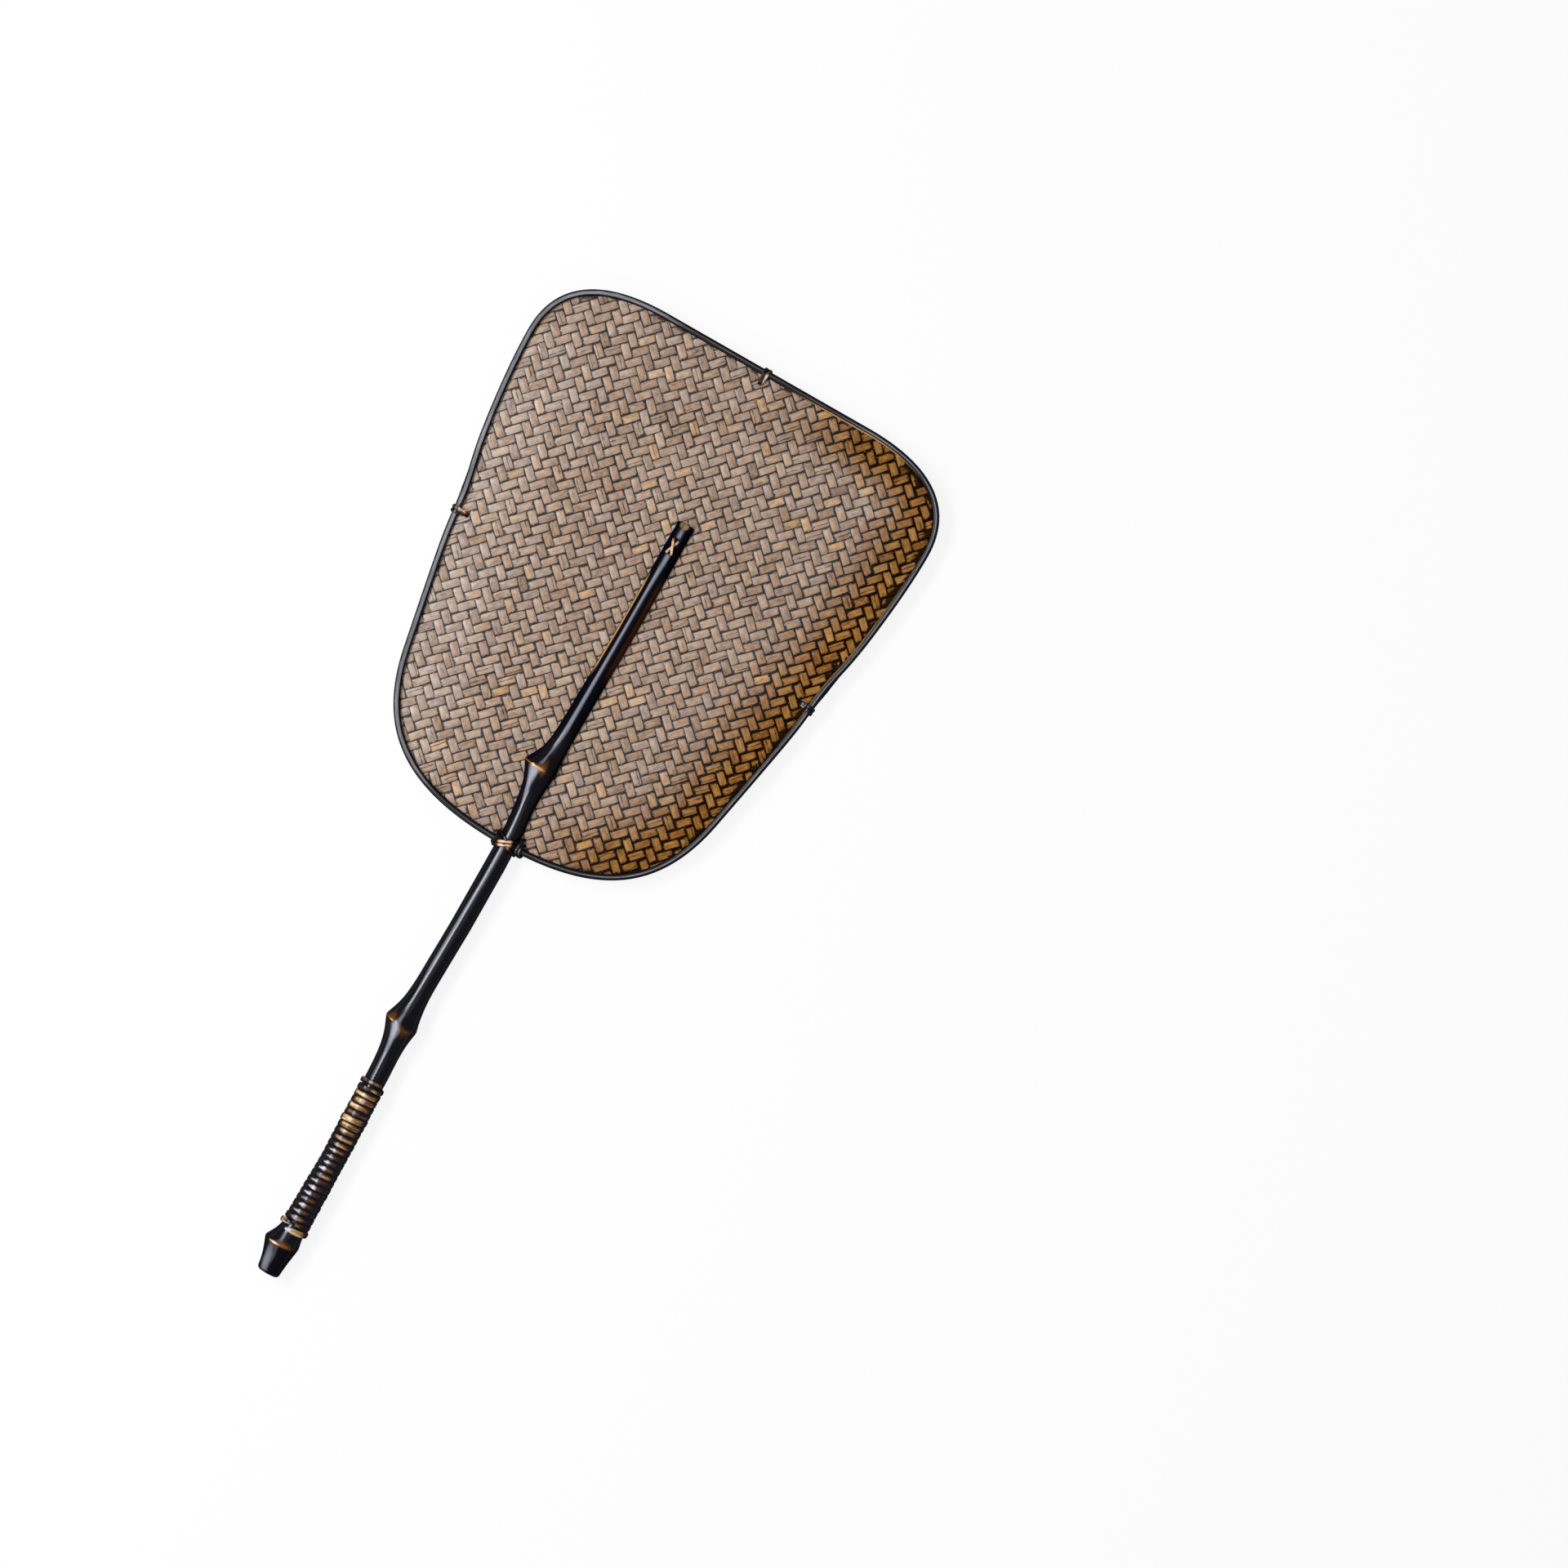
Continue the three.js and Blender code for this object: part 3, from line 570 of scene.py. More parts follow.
@dataclass
class FaceOutline:
    """Outer edge of the rim: three bends, with a slight waist, and a straight top on each side."""

    below: float = 3.0
    above: float = 244.5
    half_width: float = 104.7
    belly_reach: float = 49.7
    hip: tuple[float, float] = (82.0, 53.2)
    hip_angle: float = math.radians(78.9)
    hip_reaches: tuple[float, float] = (40.3, 46.2)
    shoulder_below_top: float = 37.5
    shoulder_reaches: tuple[float, float] = (39.2, 24.5)
    top_half: float = 52.5
    corner_reach: float = 34.5
    waist_y: float = 130.0
    waist_depth: float = 1.3
    waist_reach: float = 15.0
    bend_steps: int = 400
    depth_steps: int = 720

    def bend(self, controls: Sequence[tuple[float, float]]) -> np.ndarray:
        """Samples one cubic bend.

        Args:
            controls: Its four control points.

        Returns:
            Places along it, one row each.
        """
        a, b, c, d = (np.array(control) for control in controls)
        t = np.linspace(0, 1, self.bend_steps)[:, None]
        return (1 - t) ** 3 * a + 3 * (1 - t) ** 2 * t * b + 3 * (1 - t) * t**2 * c + t**3 * d

    def half(self) -> np.ndarray:
        """Draws the right half.

        Returns:
            Places from the middle of the bottom to the middle of the top, one row each.
        """
        side = np.array([math.cos(self.hip_angle), math.sin(self.hip_angle)])
        lower = np.array(self.hip) - side * self.hip_reaches[0]
        upper = np.array(self.hip) + side * self.hip_reaches[1]
        wide, top, low = self.half_width, self.above, -self.below
        shoulder = top - self.shoulder_below_top
        belly = self.bend([(0, low), (self.belly_reach, low), lower, self.hip])
        flank = self.bend(
            [self.hip, upper, (wide, shoulder - self.shoulder_reaches[0]), (wide, shoulder)]
        )
        flank[:, 0] -= self.waist_depth * bell(flank[:, 1], self.waist_y, self.waist_reach)
        corner = self.bend(
            [
                (wide, shoulder),
                (wide, shoulder + self.shoulder_reaches[1]),
                (self.top_half + self.corner_reach, top),
                (self.top_half, top),
            ]
        )
        return np.vstack([belly, flank[1:], corner[1:], [[0.0, top]]])

    def points(self, count: int) -> np.ndarray:
        """Draws the whole outline, anticlockwise from the middle of the bottom.

        Args:
            count: How many places are wanted.

        Returns:
            Equally spaced places, one row each.
        """
        right = self.half()
        left = right[-2:0:-1] * np.array([-1, 1])
        loop = np.vstack([right, left, right[:1]])
        run = np.concatenate([[0], np.cumsum(np.linalg.norm(np.diff(loop, axis=0), axis=1))])
        wanted = np.linspace(0, run[-1], count, endpoint=False)
        return np.column_stack([np.interp(wanted, run, loop[:, k]) for k in (0, 1)])

    def directions(self, points: np.ndarray) -> np.ndarray:
        """Unit direction of travel at each place of a closed outline."""
        along = np.roll(points, -1, axis=0) - np.roll(points, 1, axis=0)
        return along / np.linalg.norm(along, axis=1)[:, None]

    def inset(self, count: int, distance: float) -> np.ndarray:
        """Draws the outline inwards.

        Args:
            count: How many places are wanted.
            distance: How far inside the outline they lie.

        Returns:
            The places, one row each.
        """
        points = self.points(count)
        along = self.directions(points)
        return points + np.column_stack([-along[:, 1], along[:, 0]]) * distance

    def depth(self, places: np.ndarray) -> tuple[np.ndarray, np.ndarray]:
        """How far places lie inside the outline.

        Args:
            places: Places in the mat's plane, one row each.

        Returns:
            The distance from the outline, and the place on it that is nearest.
        """
        edge = self.points(self.depth_steps)
        tree = KDTree(len(edge))
        for i, (x, y) in enumerate(edge):
            tree.insert((x, y, 0), i)
        tree.balance()
        found = [tree.find((x, y, 0)) for x, y in places]
        nearest = np.array([index for _, index, _ in found])
        return np.array([gap for _, _, gap in found]), edge[nearest]


@dataclass
class Section:
    """Cross section of a strand: rounded above, with a slight belly below."""

    width: float
    height: float
    sides: int = 10
    squareness: float = 0.62
    belly: float = 0.12

    def draw(self, mesh: bmesh.types.BMesh, frame: Matrix) -> list[bmesh.types.BMEdge]:
        """Draws the section in a frame, whose x runs across the strand and y away from its seat.

        Args:
            mesh: The mesh that takes it.
            frame: The frame.

        Returns:
            The section's edges.
        """
        ring = bmesh.ops.create_circle(mesh, segments=self.sides, radius=1.0)["verts"]
        for vert in ring:
            x, y = vert.co.x, vert.co.y
            out = math.copysign(abs(y) ** self.squareness, y)
            lift = out if y > 0 else out * self.belly
            vert.co = Vector(
                (
                    math.copysign(abs(x) ** self.squareness, x) * self.width / 2,
                    (lift + self.belly) * self.height / (1 + self.belly),
                    0,
                )
            )
        bmesh.ops.transform(mesh, matrix=frame, verts=ring)
        return list({edge for vert in ring for edge in vert.link_edges})


def frame_at(place: Vector, along: Vector, out: Vector, slant: float = 0.0) -> Matrix:
    """The frame of a strand at one place.

    Args:
        place: The place on its seat.
        along: Its direction.
        out: The direction away from its seat.
        slant: How far the section leans forward for each millimetre across.

    Returns:
        A matrix whose columns are across, out, along and the place.
    """
    ahead = along.normalized()
    across = ahead.cross(out).normalized()
    away = across.cross(ahead)
    lean = across + ahead * slant
    columns = Matrix((lean, away, ahead)).transposed().to_4x4()
    return Matrix.Translation(place) @ columns


def extrude_through(
    mesh: bmesh.types.BMesh, edges: list[bmesh.types.BMEdge], frames: Sequence[Matrix]
) -> list[bmesh.types.BMEdge]:
    """Extrudes a ring of edges from frame to frame.

    Args:
        mesh: The mesh that the ring is part of.
        edges: The ring's edges, which lie in the first frame.
        frames: The frames that the ring passes.

    Returns:
        The edges of the last ring.
    """
    for before, after in zip(frames, frames[1:]):
        made = bmesh.ops.extrude_edge_only(mesh, edges=edges)["geom"]
        ring = [item for item in made if isinstance(item, bmesh.types.BMVert)]
        edges = [item for item in made if isinstance(item, bmesh.types.BMEdge) and item.is_boundary]
        bmesh.ops.transform(mesh, matrix=after @ before.inverted(), verts=ring)
    return edges


def sweep(
    mesh: bmesh.types.BMesh, section: Section, frames: Sequence[Matrix], closed: bool = False
) -> None:
    """Extrudes a section through frames, and closes its ends or joins them.

    Args:
        mesh: The mesh that takes the strand.
        section: The strand's cross section.
        frames: The frames that the section passes.
        closed: Whether the last section joins the first.
    """
    first = section.draw(mesh, frames[0])
    last = extrude_through(mesh, first, frames)
    if closed:
        bmesh.ops.bridge_loops(mesh, edges=first + last)
    else:
        bmesh.ops.edgeloop_fill(mesh, edges=first)
        bmesh.ops.edgeloop_fill(mesh, edges=last)
    bmesh.ops.recalc_face_normals(mesh, faces=mesh.faces)


def route_frames(places: Sequence[Vector], outs: Sequence[Vector], closed: bool) -> list[Matrix]:
    """Frames along a route.

    Args:
        places: The places on it.
        outs: The direction away from the strand's seat at each place.
        closed: Whether the route's end joins its start.

    Returns:
        The frames.
    """
    last = len(places) - 1
    frames = []
    for i, (place, out) in enumerate(zip(places, outs)):
        before = places[i - 1] if closed or i else place
        after = places[(i + 1) % len(places)] if closed or i < last else place
        frames.append(frame_at(place, after - before, out))
    return frames


@dataclass(frozen=True)
class RidgeWear:
    """Wear along a node's ridge at one place across: gold on it, rust above and below it."""

    x: float
    gold: float
    gold_width: float
    rust: float
    rust_above: float
    rust_below: float


@dataclass(frozen=True)
class BambooNode:
    """A node of the handle.

    Swell and throw are how far it thickens the stem and pushes it aside, and below and above how
    far that reaches. The tilts are its ridge's climb for each millimetre along x and z, and notch
    is the place, depth and half width of the ridge's V.
    """

    y: float
    swell: float
    throw: float
    below: float
    above: float
    tilt_x: float
    tilt_z: float
    notch: tuple[float, float, float]
    worn: Sequence[RidgeWear]


@dataclass
class BambooHandle:
    """Thin length of lacquered bamboo that carries the face.

    Stem holds heights with the handle's centre and radius there. Painted glints are painted
    highlights on its front, each a path of heights with its middle, half its width and its
    strength.
    """

    butt: float = -224.9
    tip: float = 165.3
    sides: int = 88
    stem: Sequence[tuple[float, float, float]] = (
        (-224.9, 5.5, 4.95),
        (-194.9, 5.8, 5.4),
        (-164.9, 5.75, 4.85),
        (-120.0, 4.35, 5.0),
        (-108.0, 3.7, 4.8),
        (-92.0, 2.85, 4.45),
        (-80.0, 2.75, 4.65),
        (-66.0, 2.95, 4.85),
        (-44.0, 3.4, 4.9),
        (-12.0, 3.3, 4.9),
        (5.0, 2.9, 4.65),
        (20.0, 1.6, 4.5),
        (36.0, 1.55, 4.55),
        (60.0, 1.7, 4.65),
        (110.0, 2.4, 4.45),
        (165.3, 2.15, 4.25),
    )
    nodes: Sequence[BambooNode] = (
        BambooNode(
            -209.3, 3.1, -1.45, 9.0, 5.5, 0.05, -0.16, (0.0, 0.0, 1.0),
            (
                RidgeWear(-2.4, 0.0, 0.3, 0.2, 0.5, 0.5),
                RidgeWear(-0.9, 0.8, 0.45, 0.3, 0.4, 0.4),
                RidgeWear(1.3, 1.3, 0.7, 0.5, 0.6, 0.5),
                RidgeWear(3.6, 0.8, 0.5, 1.0, 1.6, 0.6),
                RidgeWear(5.0, 0.3, 0.35, 1.1, 2.4, 0.8),
                RidgeWear(9.0, 0.15, 0.35, 0.8, 1.6, 0.7),
                RidgeWear(10.5, 0.0, 0.3, 0.2, 0.5, 0.5),
            ),
        ),
        BambooNode(
            -95.9, 3.6, -1.1, 8.1, 9.2, -0.09, -0.12, (5.4, 2.0, 3.0),
            (
                RidgeWear(-6.3, 0.32, 0.22, 0.5, 0.8, 0.3),
                RidgeWear(-4.4, 0.4, 0.24, 0.62, 2.6, 0.4),
                RidgeWear(-2.3, 1.0, 0.6, 0.85, 4.4, 0.5),
                RidgeWear(-1.4, 0.4, 0.4, 0.7, 3.4, 0.3),
                RidgeWear(0.5, 0.1, 0.3, 0.15, 1.0, 0.3),
                RidgeWear(2.4, 0.25, 0.35, 0.5, 1.2, 2.0),
                RidgeWear(4.0, 0.42, 0.35, 0.55, 1.6, 5.0),
                RidgeWear(5.8, 0.42, 0.4, 0.6, 1.6, 4.6),
                RidgeWear(7.6, 0.3, 0.35, 0.5, 1.0, 1.4),
                RidgeWear(9.5, 0.0, 0.3, 0.1, 0.4, 0.4),
            ),
        ),
        BambooNode(
            36.9, 3.58, -2.48, 8.8, 7.56, -0.03, -0.13, (0.0, 0.0, 1.0),
            (
                RidgeWear(-9.5, 0.45, 0.3, 0.6, 0.5, 0.3),
                RidgeWear(-5.6, 0.62, 0.42, 0.6, 0.7, 0.4),
                RidgeWear(-4.3, 1.15, 1.0, 0.6, 0.8, 0.4),
                RidgeWear(-3.2, 0.85, 0.7, 0.7, 1.2, 0.4),
                RidgeWear(-1.5, 0.85, 1.0, 0.8, 2.6, 0.5),
                RidgeWear(0.3, 0.72, 1.1, 0.85, 5.0, 2.2),
                RidgeWear(1.6, 0.5, 0.7, 0.8, 4.4, 4.6),
                RidgeWear(2.9, 0.3, 0.35, 0.3, 1.8, 3.2),
                RidgeWear(4.2, 0.1, 0.3, 0.15, 0.6, 0.8),
                RidgeWear(7.6, 0.1, 0.3, 0.1, 0.4, 0.4),
            ),
        ),
    )
    fade_power: float = 1.33
    # Painted highlights: streaks of reflected light painted along the front.
    painted_glints: Sequence[Sequence[tuple[float, float, float, float]]] = (
        (
            (149.8, 1.7, 0.9, 0.0),
            (148.6, 1.7, 1.0, 0.5),
            (142.0, 1.65, 0.85, 0.5),
            (130.0, 1.5, 0.6, 0.42),
            (110.0, 1.4, 0.6, 0.42),
            (85.0, 1.3, 0.65, 0.45),
            (66.0, 1.2, 0.75, 0.5),
            (57.0, 1.1, 0.85, 0.5),
            (50.0, 0.55, 0.6, 0.5),
            (46.0, 0.1, 0.4, 0.45),
            (42.5, -0.5, 0.35, 0.4),
            (40.0, -0.9, 0.5, 0.4),
            (38.4, -1.4, 0.8, 0.2),
            (37.4, -1.8, 1.0, 0.0),
        ),
        (
            (36.0, -2.6, 2.6, 0.0),
            (35.3, -2.8, 2.3, 0.8),
            (33.0, -2.7, 1.7, 0.85),
            (30.0, -2.2, 1.15, 0.8),
            (27.0, -1.6, 0.85, 0.7),
            (24.0, -1.1, 0.65, 0.6),
            (21.0, -0.4, 0.5, 0.5),
            (17.0, 0.5, 0.45, 0.4),
            (12.0, 1.1, 0.5, 0.4),
            (3.0, 1.9, 0.6, 0.4),
            (-8.0, 2.3, 0.75, 0.45),
            (-22.0, 2.3, 0.75, 0.45),
            (-40.0, 1.75, 0.7, 0.45),
            (-66.0, 1.35, 0.8, 0.45),
            (-78.0, 1.35, 0.5, 0.4),
            (-84.0, 1.35, 0.35, 0.4),
            (-91.0, 1.2, 0.4, 0.45),
            (-95.0, 0.8, 0.8, 0.4),
            (-96.2, 0.3, 1.3, 0.5),
            (-97.5, 0.2, 1.7, 0.85),
            (-99.5, 0.7, 1.4, 0.85),
            (-102.5, 1.3, 1.1, 0.75),
            (-106.0, 1.9, 0.9, 0.6),
            (-111.0, 2.3, 0.7, 0.42),
            (-117.0, 2.5, 0.6, 0.25),
            (-124.0, 2.6, 0.5, 0.2),
        ),
        (
            (-201.0, 3.8, 0.5, 0.3),
            (-206.5, 3.75, 0.6, 0.45),
            (-208.8, 3.5, 0.8, 0.2),
            (-210.6, 0.6, 1.2, 0.0),
            (-212.0, 0.9, 1.2, 0.2),
            (-215.5, 1.6, 1.4, 0.38),
            (-220.0, 2.3, 1.5, 0.45),
            (-223.2, 2.8, 1.3, 0.38),
            (-224.4, 3.0, 1.3, 0.0),
        ),
        (
            (157.6, 1.8, 0.8, 0.0),
            (158.6, 1.8, 0.9, 0.45),
            (161.5, 1.8, 0.8, 0.4),
            (163.5, 1.8, 0.8, 0.0),
        ),
    )
    ridge_reach: float = 12.0
    edge_radius: float = 1.6
    edge_steps: int = 5
    tip_chamfer: float = 0.6
    tip_bevel: tuple[float, float] = (0.15, 0.27)
    cap_insets: Sequence[float] = (0.9, 1.2, 1.0)
    cap_dish: float = 0.12
    ring_step: float = 0.35
    ring_step_gain: float = 0.16
    ring_step_rise: float = 2.2
    flute_step: float = 1.1
    flute_lead: float = 6.0
    flute_x: float = 1.6
    flute_depth: float = 0.8
    flute_radius: float = 3.2
    flute_start: float = 144.2
    stitch_y: float = 153.3
    flank_opens: tuple[float, float] = (78.0, 92.0)
    flank_ends: tuple[float, float] = (132.0, 144.0)

    def line(self, y: np.ndarray | float) -> tuple[np.ndarray, np.ndarray]:
        """Finds the handle's middle line.

        Args:
            y: One height or several.

        Returns:
            The handle's centre across and its radius at those heights.
        """
        heights, centres, radii = (np.array(column) for column in zip(*self.stem))
        x = np.interp(y, heights, centres)
        radius = np.interp(y, heights, radii)
        for node in self.nodes:
            gap = np.asarray(y) - node.y
            reach = np.where(gap < 0, node.below, node.above)
            fade = np.exp(-((np.abs(gap) / reach) ** self.fade_power))
            x = x + node.throw * fade
            radius = radius + node.swell * fade
        return x, radius

    def lean(self, y: float) -> tuple[float, float]:
        """How the ring at a height leans.

        Args:
            y: The height.

        Returns:
            How far it climbs for each millimetre along x and z.
        """
        climb_x, climb_z = 0.0, 0.0
        for node in self.nodes:
            fade = max(0.0, 1 - abs(y - node.y) / self.ridge_reach)
            climb_x += fade * node.tilt_x
            climb_z += fade * node.tilt_z
        return climb_x, climb_z

    def heights(self) -> list[float]:
        """Spaces the rings, closest at the ridges.

        Returns:
            The rings' heights.
        """
        levels = [self.butt + self.edge_radius]
        while levels[-1] < self.tip - self.tip_chamfer:
            gap = min(abs(levels[-1] - node.y) for node in self.nodes)
            near_flute = levels[-1] > self.flute_start - self.flute_lead
            step = self.ring_step + min(self.ring_step_rise, gap * self.ring_step_gain)
            levels.append(levels[-1] + (min(step, self.flute_step) if near_flute else step))
        levels[-1] = self.tip - self.tip_chamfer
        return levels

    def ring(self, y: float, shrink: float = 0.0) -> Matrix:
        """The frame of one ring.

        Args:
            y: The ring's height.
            shrink: How much its radius is less than the stem's.

        Returns:
            The matrix that turns a unit circle in x and y into the ring.
        """
        x, radius = self.line(y)
        climb_x, climb_z = self.lean(y)
        r = float(radius) - shrink
        return Matrix(
            (
                (r, 0, 0, float(x)),
                (r * climb_x, r * climb_z, 1, y),
                (0, r, 0, 0),
                (0, 0, 0, 1),
            )
        )

    def shape(self) -> bmesh.types.BMesh:
        """Extrudes the handle ring by ring, lets the flute into its front and notches a ridge.

        Returns:
            The handle's mesh.
        """
        mesh = bmesh.new()
        rings = []
        for i in range(self.edge_steps):
            angle = math.pi / 2 * i / self.edge_steps
            rise = self.edge_radius * (1 - math.cos(angle))
            rings.append(self.ring(self.butt + rise, self.edge_radius * (1 - math.sin(angle))))
        rings += [self.ring(y) for y in self.heights()]
        below_tip, shrink = self.tip_bevel
        rings.append(self.ring(self.tip - below_tip, shrink))
        rings.append(self.ring(self.tip, self.tip_chamfer))
        circle = bmesh.ops.create_circle(mesh, segments=self.sides, radius=1.0)["verts"]
        first = list({edge for vert in circle for edge in vert.link_edges})
        bmesh.ops.transform(mesh, matrix=rings[0], verts=circle)
        last = extrude_through(mesh, first, rings)
        caps = []
        for loop in (first, last):
            caps += bmesh.ops.edgeloop_fill(mesh, edges=loop)["faces"]
        for cap in caps:
            for width in self.cap_insets:
                bmesh.ops.inset_region(mesh, faces=[cap], thickness=width, depth=-self.cap_dish)
        bmesh.ops.recalc_face_normals(mesh, faces=mesh.faces)
        self.cut_flute(mesh)
        self.notch_ridges(mesh)
        return mesh

    def notch_ridges(self, mesh: bmesh.types.BMesh) -> None:
        """Pulls each node's ridge down in a V where the stem's growth line meets it.

        Args:
            mesh: The handle's mesh, which changes.
        """
        places = points_of(mesh)
        shift = np.zeros(len(places))
        for node in self.nodes:
            shift += self.notch_shift(node, places)
        places[:, 1] -= shift
        move_points(mesh, places)

    def notch_shift(self, node: BambooNode, places: np.ndarray) -> np.ndarray:
        """Measures a node's V.

        Args:
            node: The node.
            places: Places in layout millimetres, one row each.

        Returns:
            How far it pulls each place down.
        """
        x, depth, width = node.notch
        fade = np.clip(1 - np.abs(places[:, 1] - node.y) / self.ridge_reach, 0, 1)
        vee = np.clip(1 - np.abs(places[:, 0] - x) / width, 0, 1)
        return depth * vee * fade * (places[:, 2] > 0)

    def cut_flute(self, mesh: bmesh.types.BMesh) -> None:
        """Presses a round-bottomed groove into the front, from below the stitch over the tip.

        Args:
            mesh: The handle's mesh, which changes.
        """
        places = points_of(mesh)
        _, radius = self.line(self.stitch_y)
        axis = float(radius) - self.flute_depth + self.flute_radius
        past_end = np.minimum(places[:, 1] - self.flute_start, 0.0)
        span = self.flute_radius**2 - (places[:, 0] - self.flute_x) ** 2 - past_end**2
        floor = axis - np.sqrt(np.maximum(span, 0))
        inside = (span > 0) & (places[:, 2] > 0)
        places[inside, 2] = np.minimum(places[inside, 2], floor[inside])
        move_points(mesh, places)

    def wear(self, places: np.ndarray) -> np.ndarray:
        """How much gold, rust and bare wood shows at places on the handle.

        Args:
            places: Places in layout millimetres, one row each.

        Returns:
            Three levels for each place, where 1 is fully worn.
        """
        x, y, z = places.T
        centre, radius = self.line(y)
        side = (x - centre) / radius
        gold = np.zeros(len(places))
        rust = np.zeros(len(places))
        for node in self.nodes:
            fade = np.clip(1 - np.abs(y - node.y) / self.ridge_reach, 0, 1)
            gap = y - node.y - fade * (node.tilt_x * (x - centre) + node.tilt_z * z)
            gap += self.notch_shift(node, places)
            xs, *rows = np.array([astuple(spot) for spot in node.worn]).T
            level, width, red, above, below = (np.interp(x, xs, row) for row in rows)
            dim = np.where(z > 0, 1.0, 0.5)
            gold = np.maximum(gold, bell(gap, 0.0, width) * level * dim)
            rust = np.maximum(rust, bell(gap, 0.0, np.where(gap > 0, above, below)) * red * dim)
        stretch = smooth_step(y, *self.flank_opens) * (1 - smooth_step(y, *self.flank_ends))
        gold = np.maximum(gold, bell(np.abs(z), 2.1, 0.9) * stretch * (side < 0) * 0.75)
        flank = smooth_step(side, 0.2, 0.75) * (z > -2.0) * stretch
        rust = np.maximum(rust, flank * 0.45)
        bare = smooth_step(y, self.tip - 4.2, self.tip - 1.4) * bell(x, 1.8, 2.5) * (z > 0)
        bare = np.maximum(bare, smooth_step(y, self.tip - 0.1, self.tip - 0.02) * 0.55)
        return np.column_stack([gold, rust, bare])

    def painted_glint(self, places: np.ndarray) -> np.ndarray:
        """How strongly the painted highlight shows on the front.

        Args:
            places: Places in layout millimetres, one row each.

        Returns:
            A number from 0 to 1 for each place.
        """
        x, y, z = places.T
        level = np.zeros(len(places))
        for path in self.painted_glints:
            ys, *rows = np.array(sorted(path)).T
            centre, half, strength = (np.interp(y, ys, row) for row in rows)
            inside = (y > ys[0]) & (y < ys[-1])
            band = 1 - smooth_step(np.abs(x - centre), half * 0.35, half * 1.6)
            level = np.maximum(level, band * strength * inside)
        return level * (z > 0)

    def build(self, bench: Workbench) -> None:
        """Makes the handle, duller over the face, near the tip and below the butt node.

        Args:
            bench: The bench that takes the piece.
        """
        mesh = self.shape()
        places = points_of(mesh)
        y = places[:, 1]
        over_face = smooth_step(y, 46.0, 62.0)
        near_tip = smooth_step(y, 138.0, 143.0)
        at_butt = y <= -210.0
        gloss = gloss_of(mesh) * (1 - 0.7 * over_face) * (1 - 0.6 * near_tip) * (1 - 0.6 * at_butt)
        marks = {"wear": self.wear(places), "painted_glint": self.painted_glint(places), "gloss": gloss}
        finish = BlackLacquer().make()
        bench.piece("handle", mesh, finish, ["bamboo_handle"], marks)


@dataclass(frozen=True)
class StripSet:
    """The strips of the weave that run one way.

    Rub is how far from a float's middle its lacquer is rubbed off, in crossings, and stay how much
    longer than on the back a float stays up on the front. Bow is how far the strips lie off their
    straight way, in rows from low to high and from left to right.
    """

    name: str
    angle: float
    pitch: float
    width: float
    rub: float
    stay: float
    nodes: tuple[str, ...]
    seed: int
    bow: Sequence[Sequence[float]]


@dataclass(frozen=True)
class StripPlace:
    """Where points lie in their strips.

    Number counts the strips of the set, side and run are millimetres across and along the strip,
    and phase is 0 in the middle of a float on the front and 2 in the middle of one on the back.
    """

    number: np.ndarray
    side: np.ndarray
    run: np.ndarray
    phase: np.ndarray


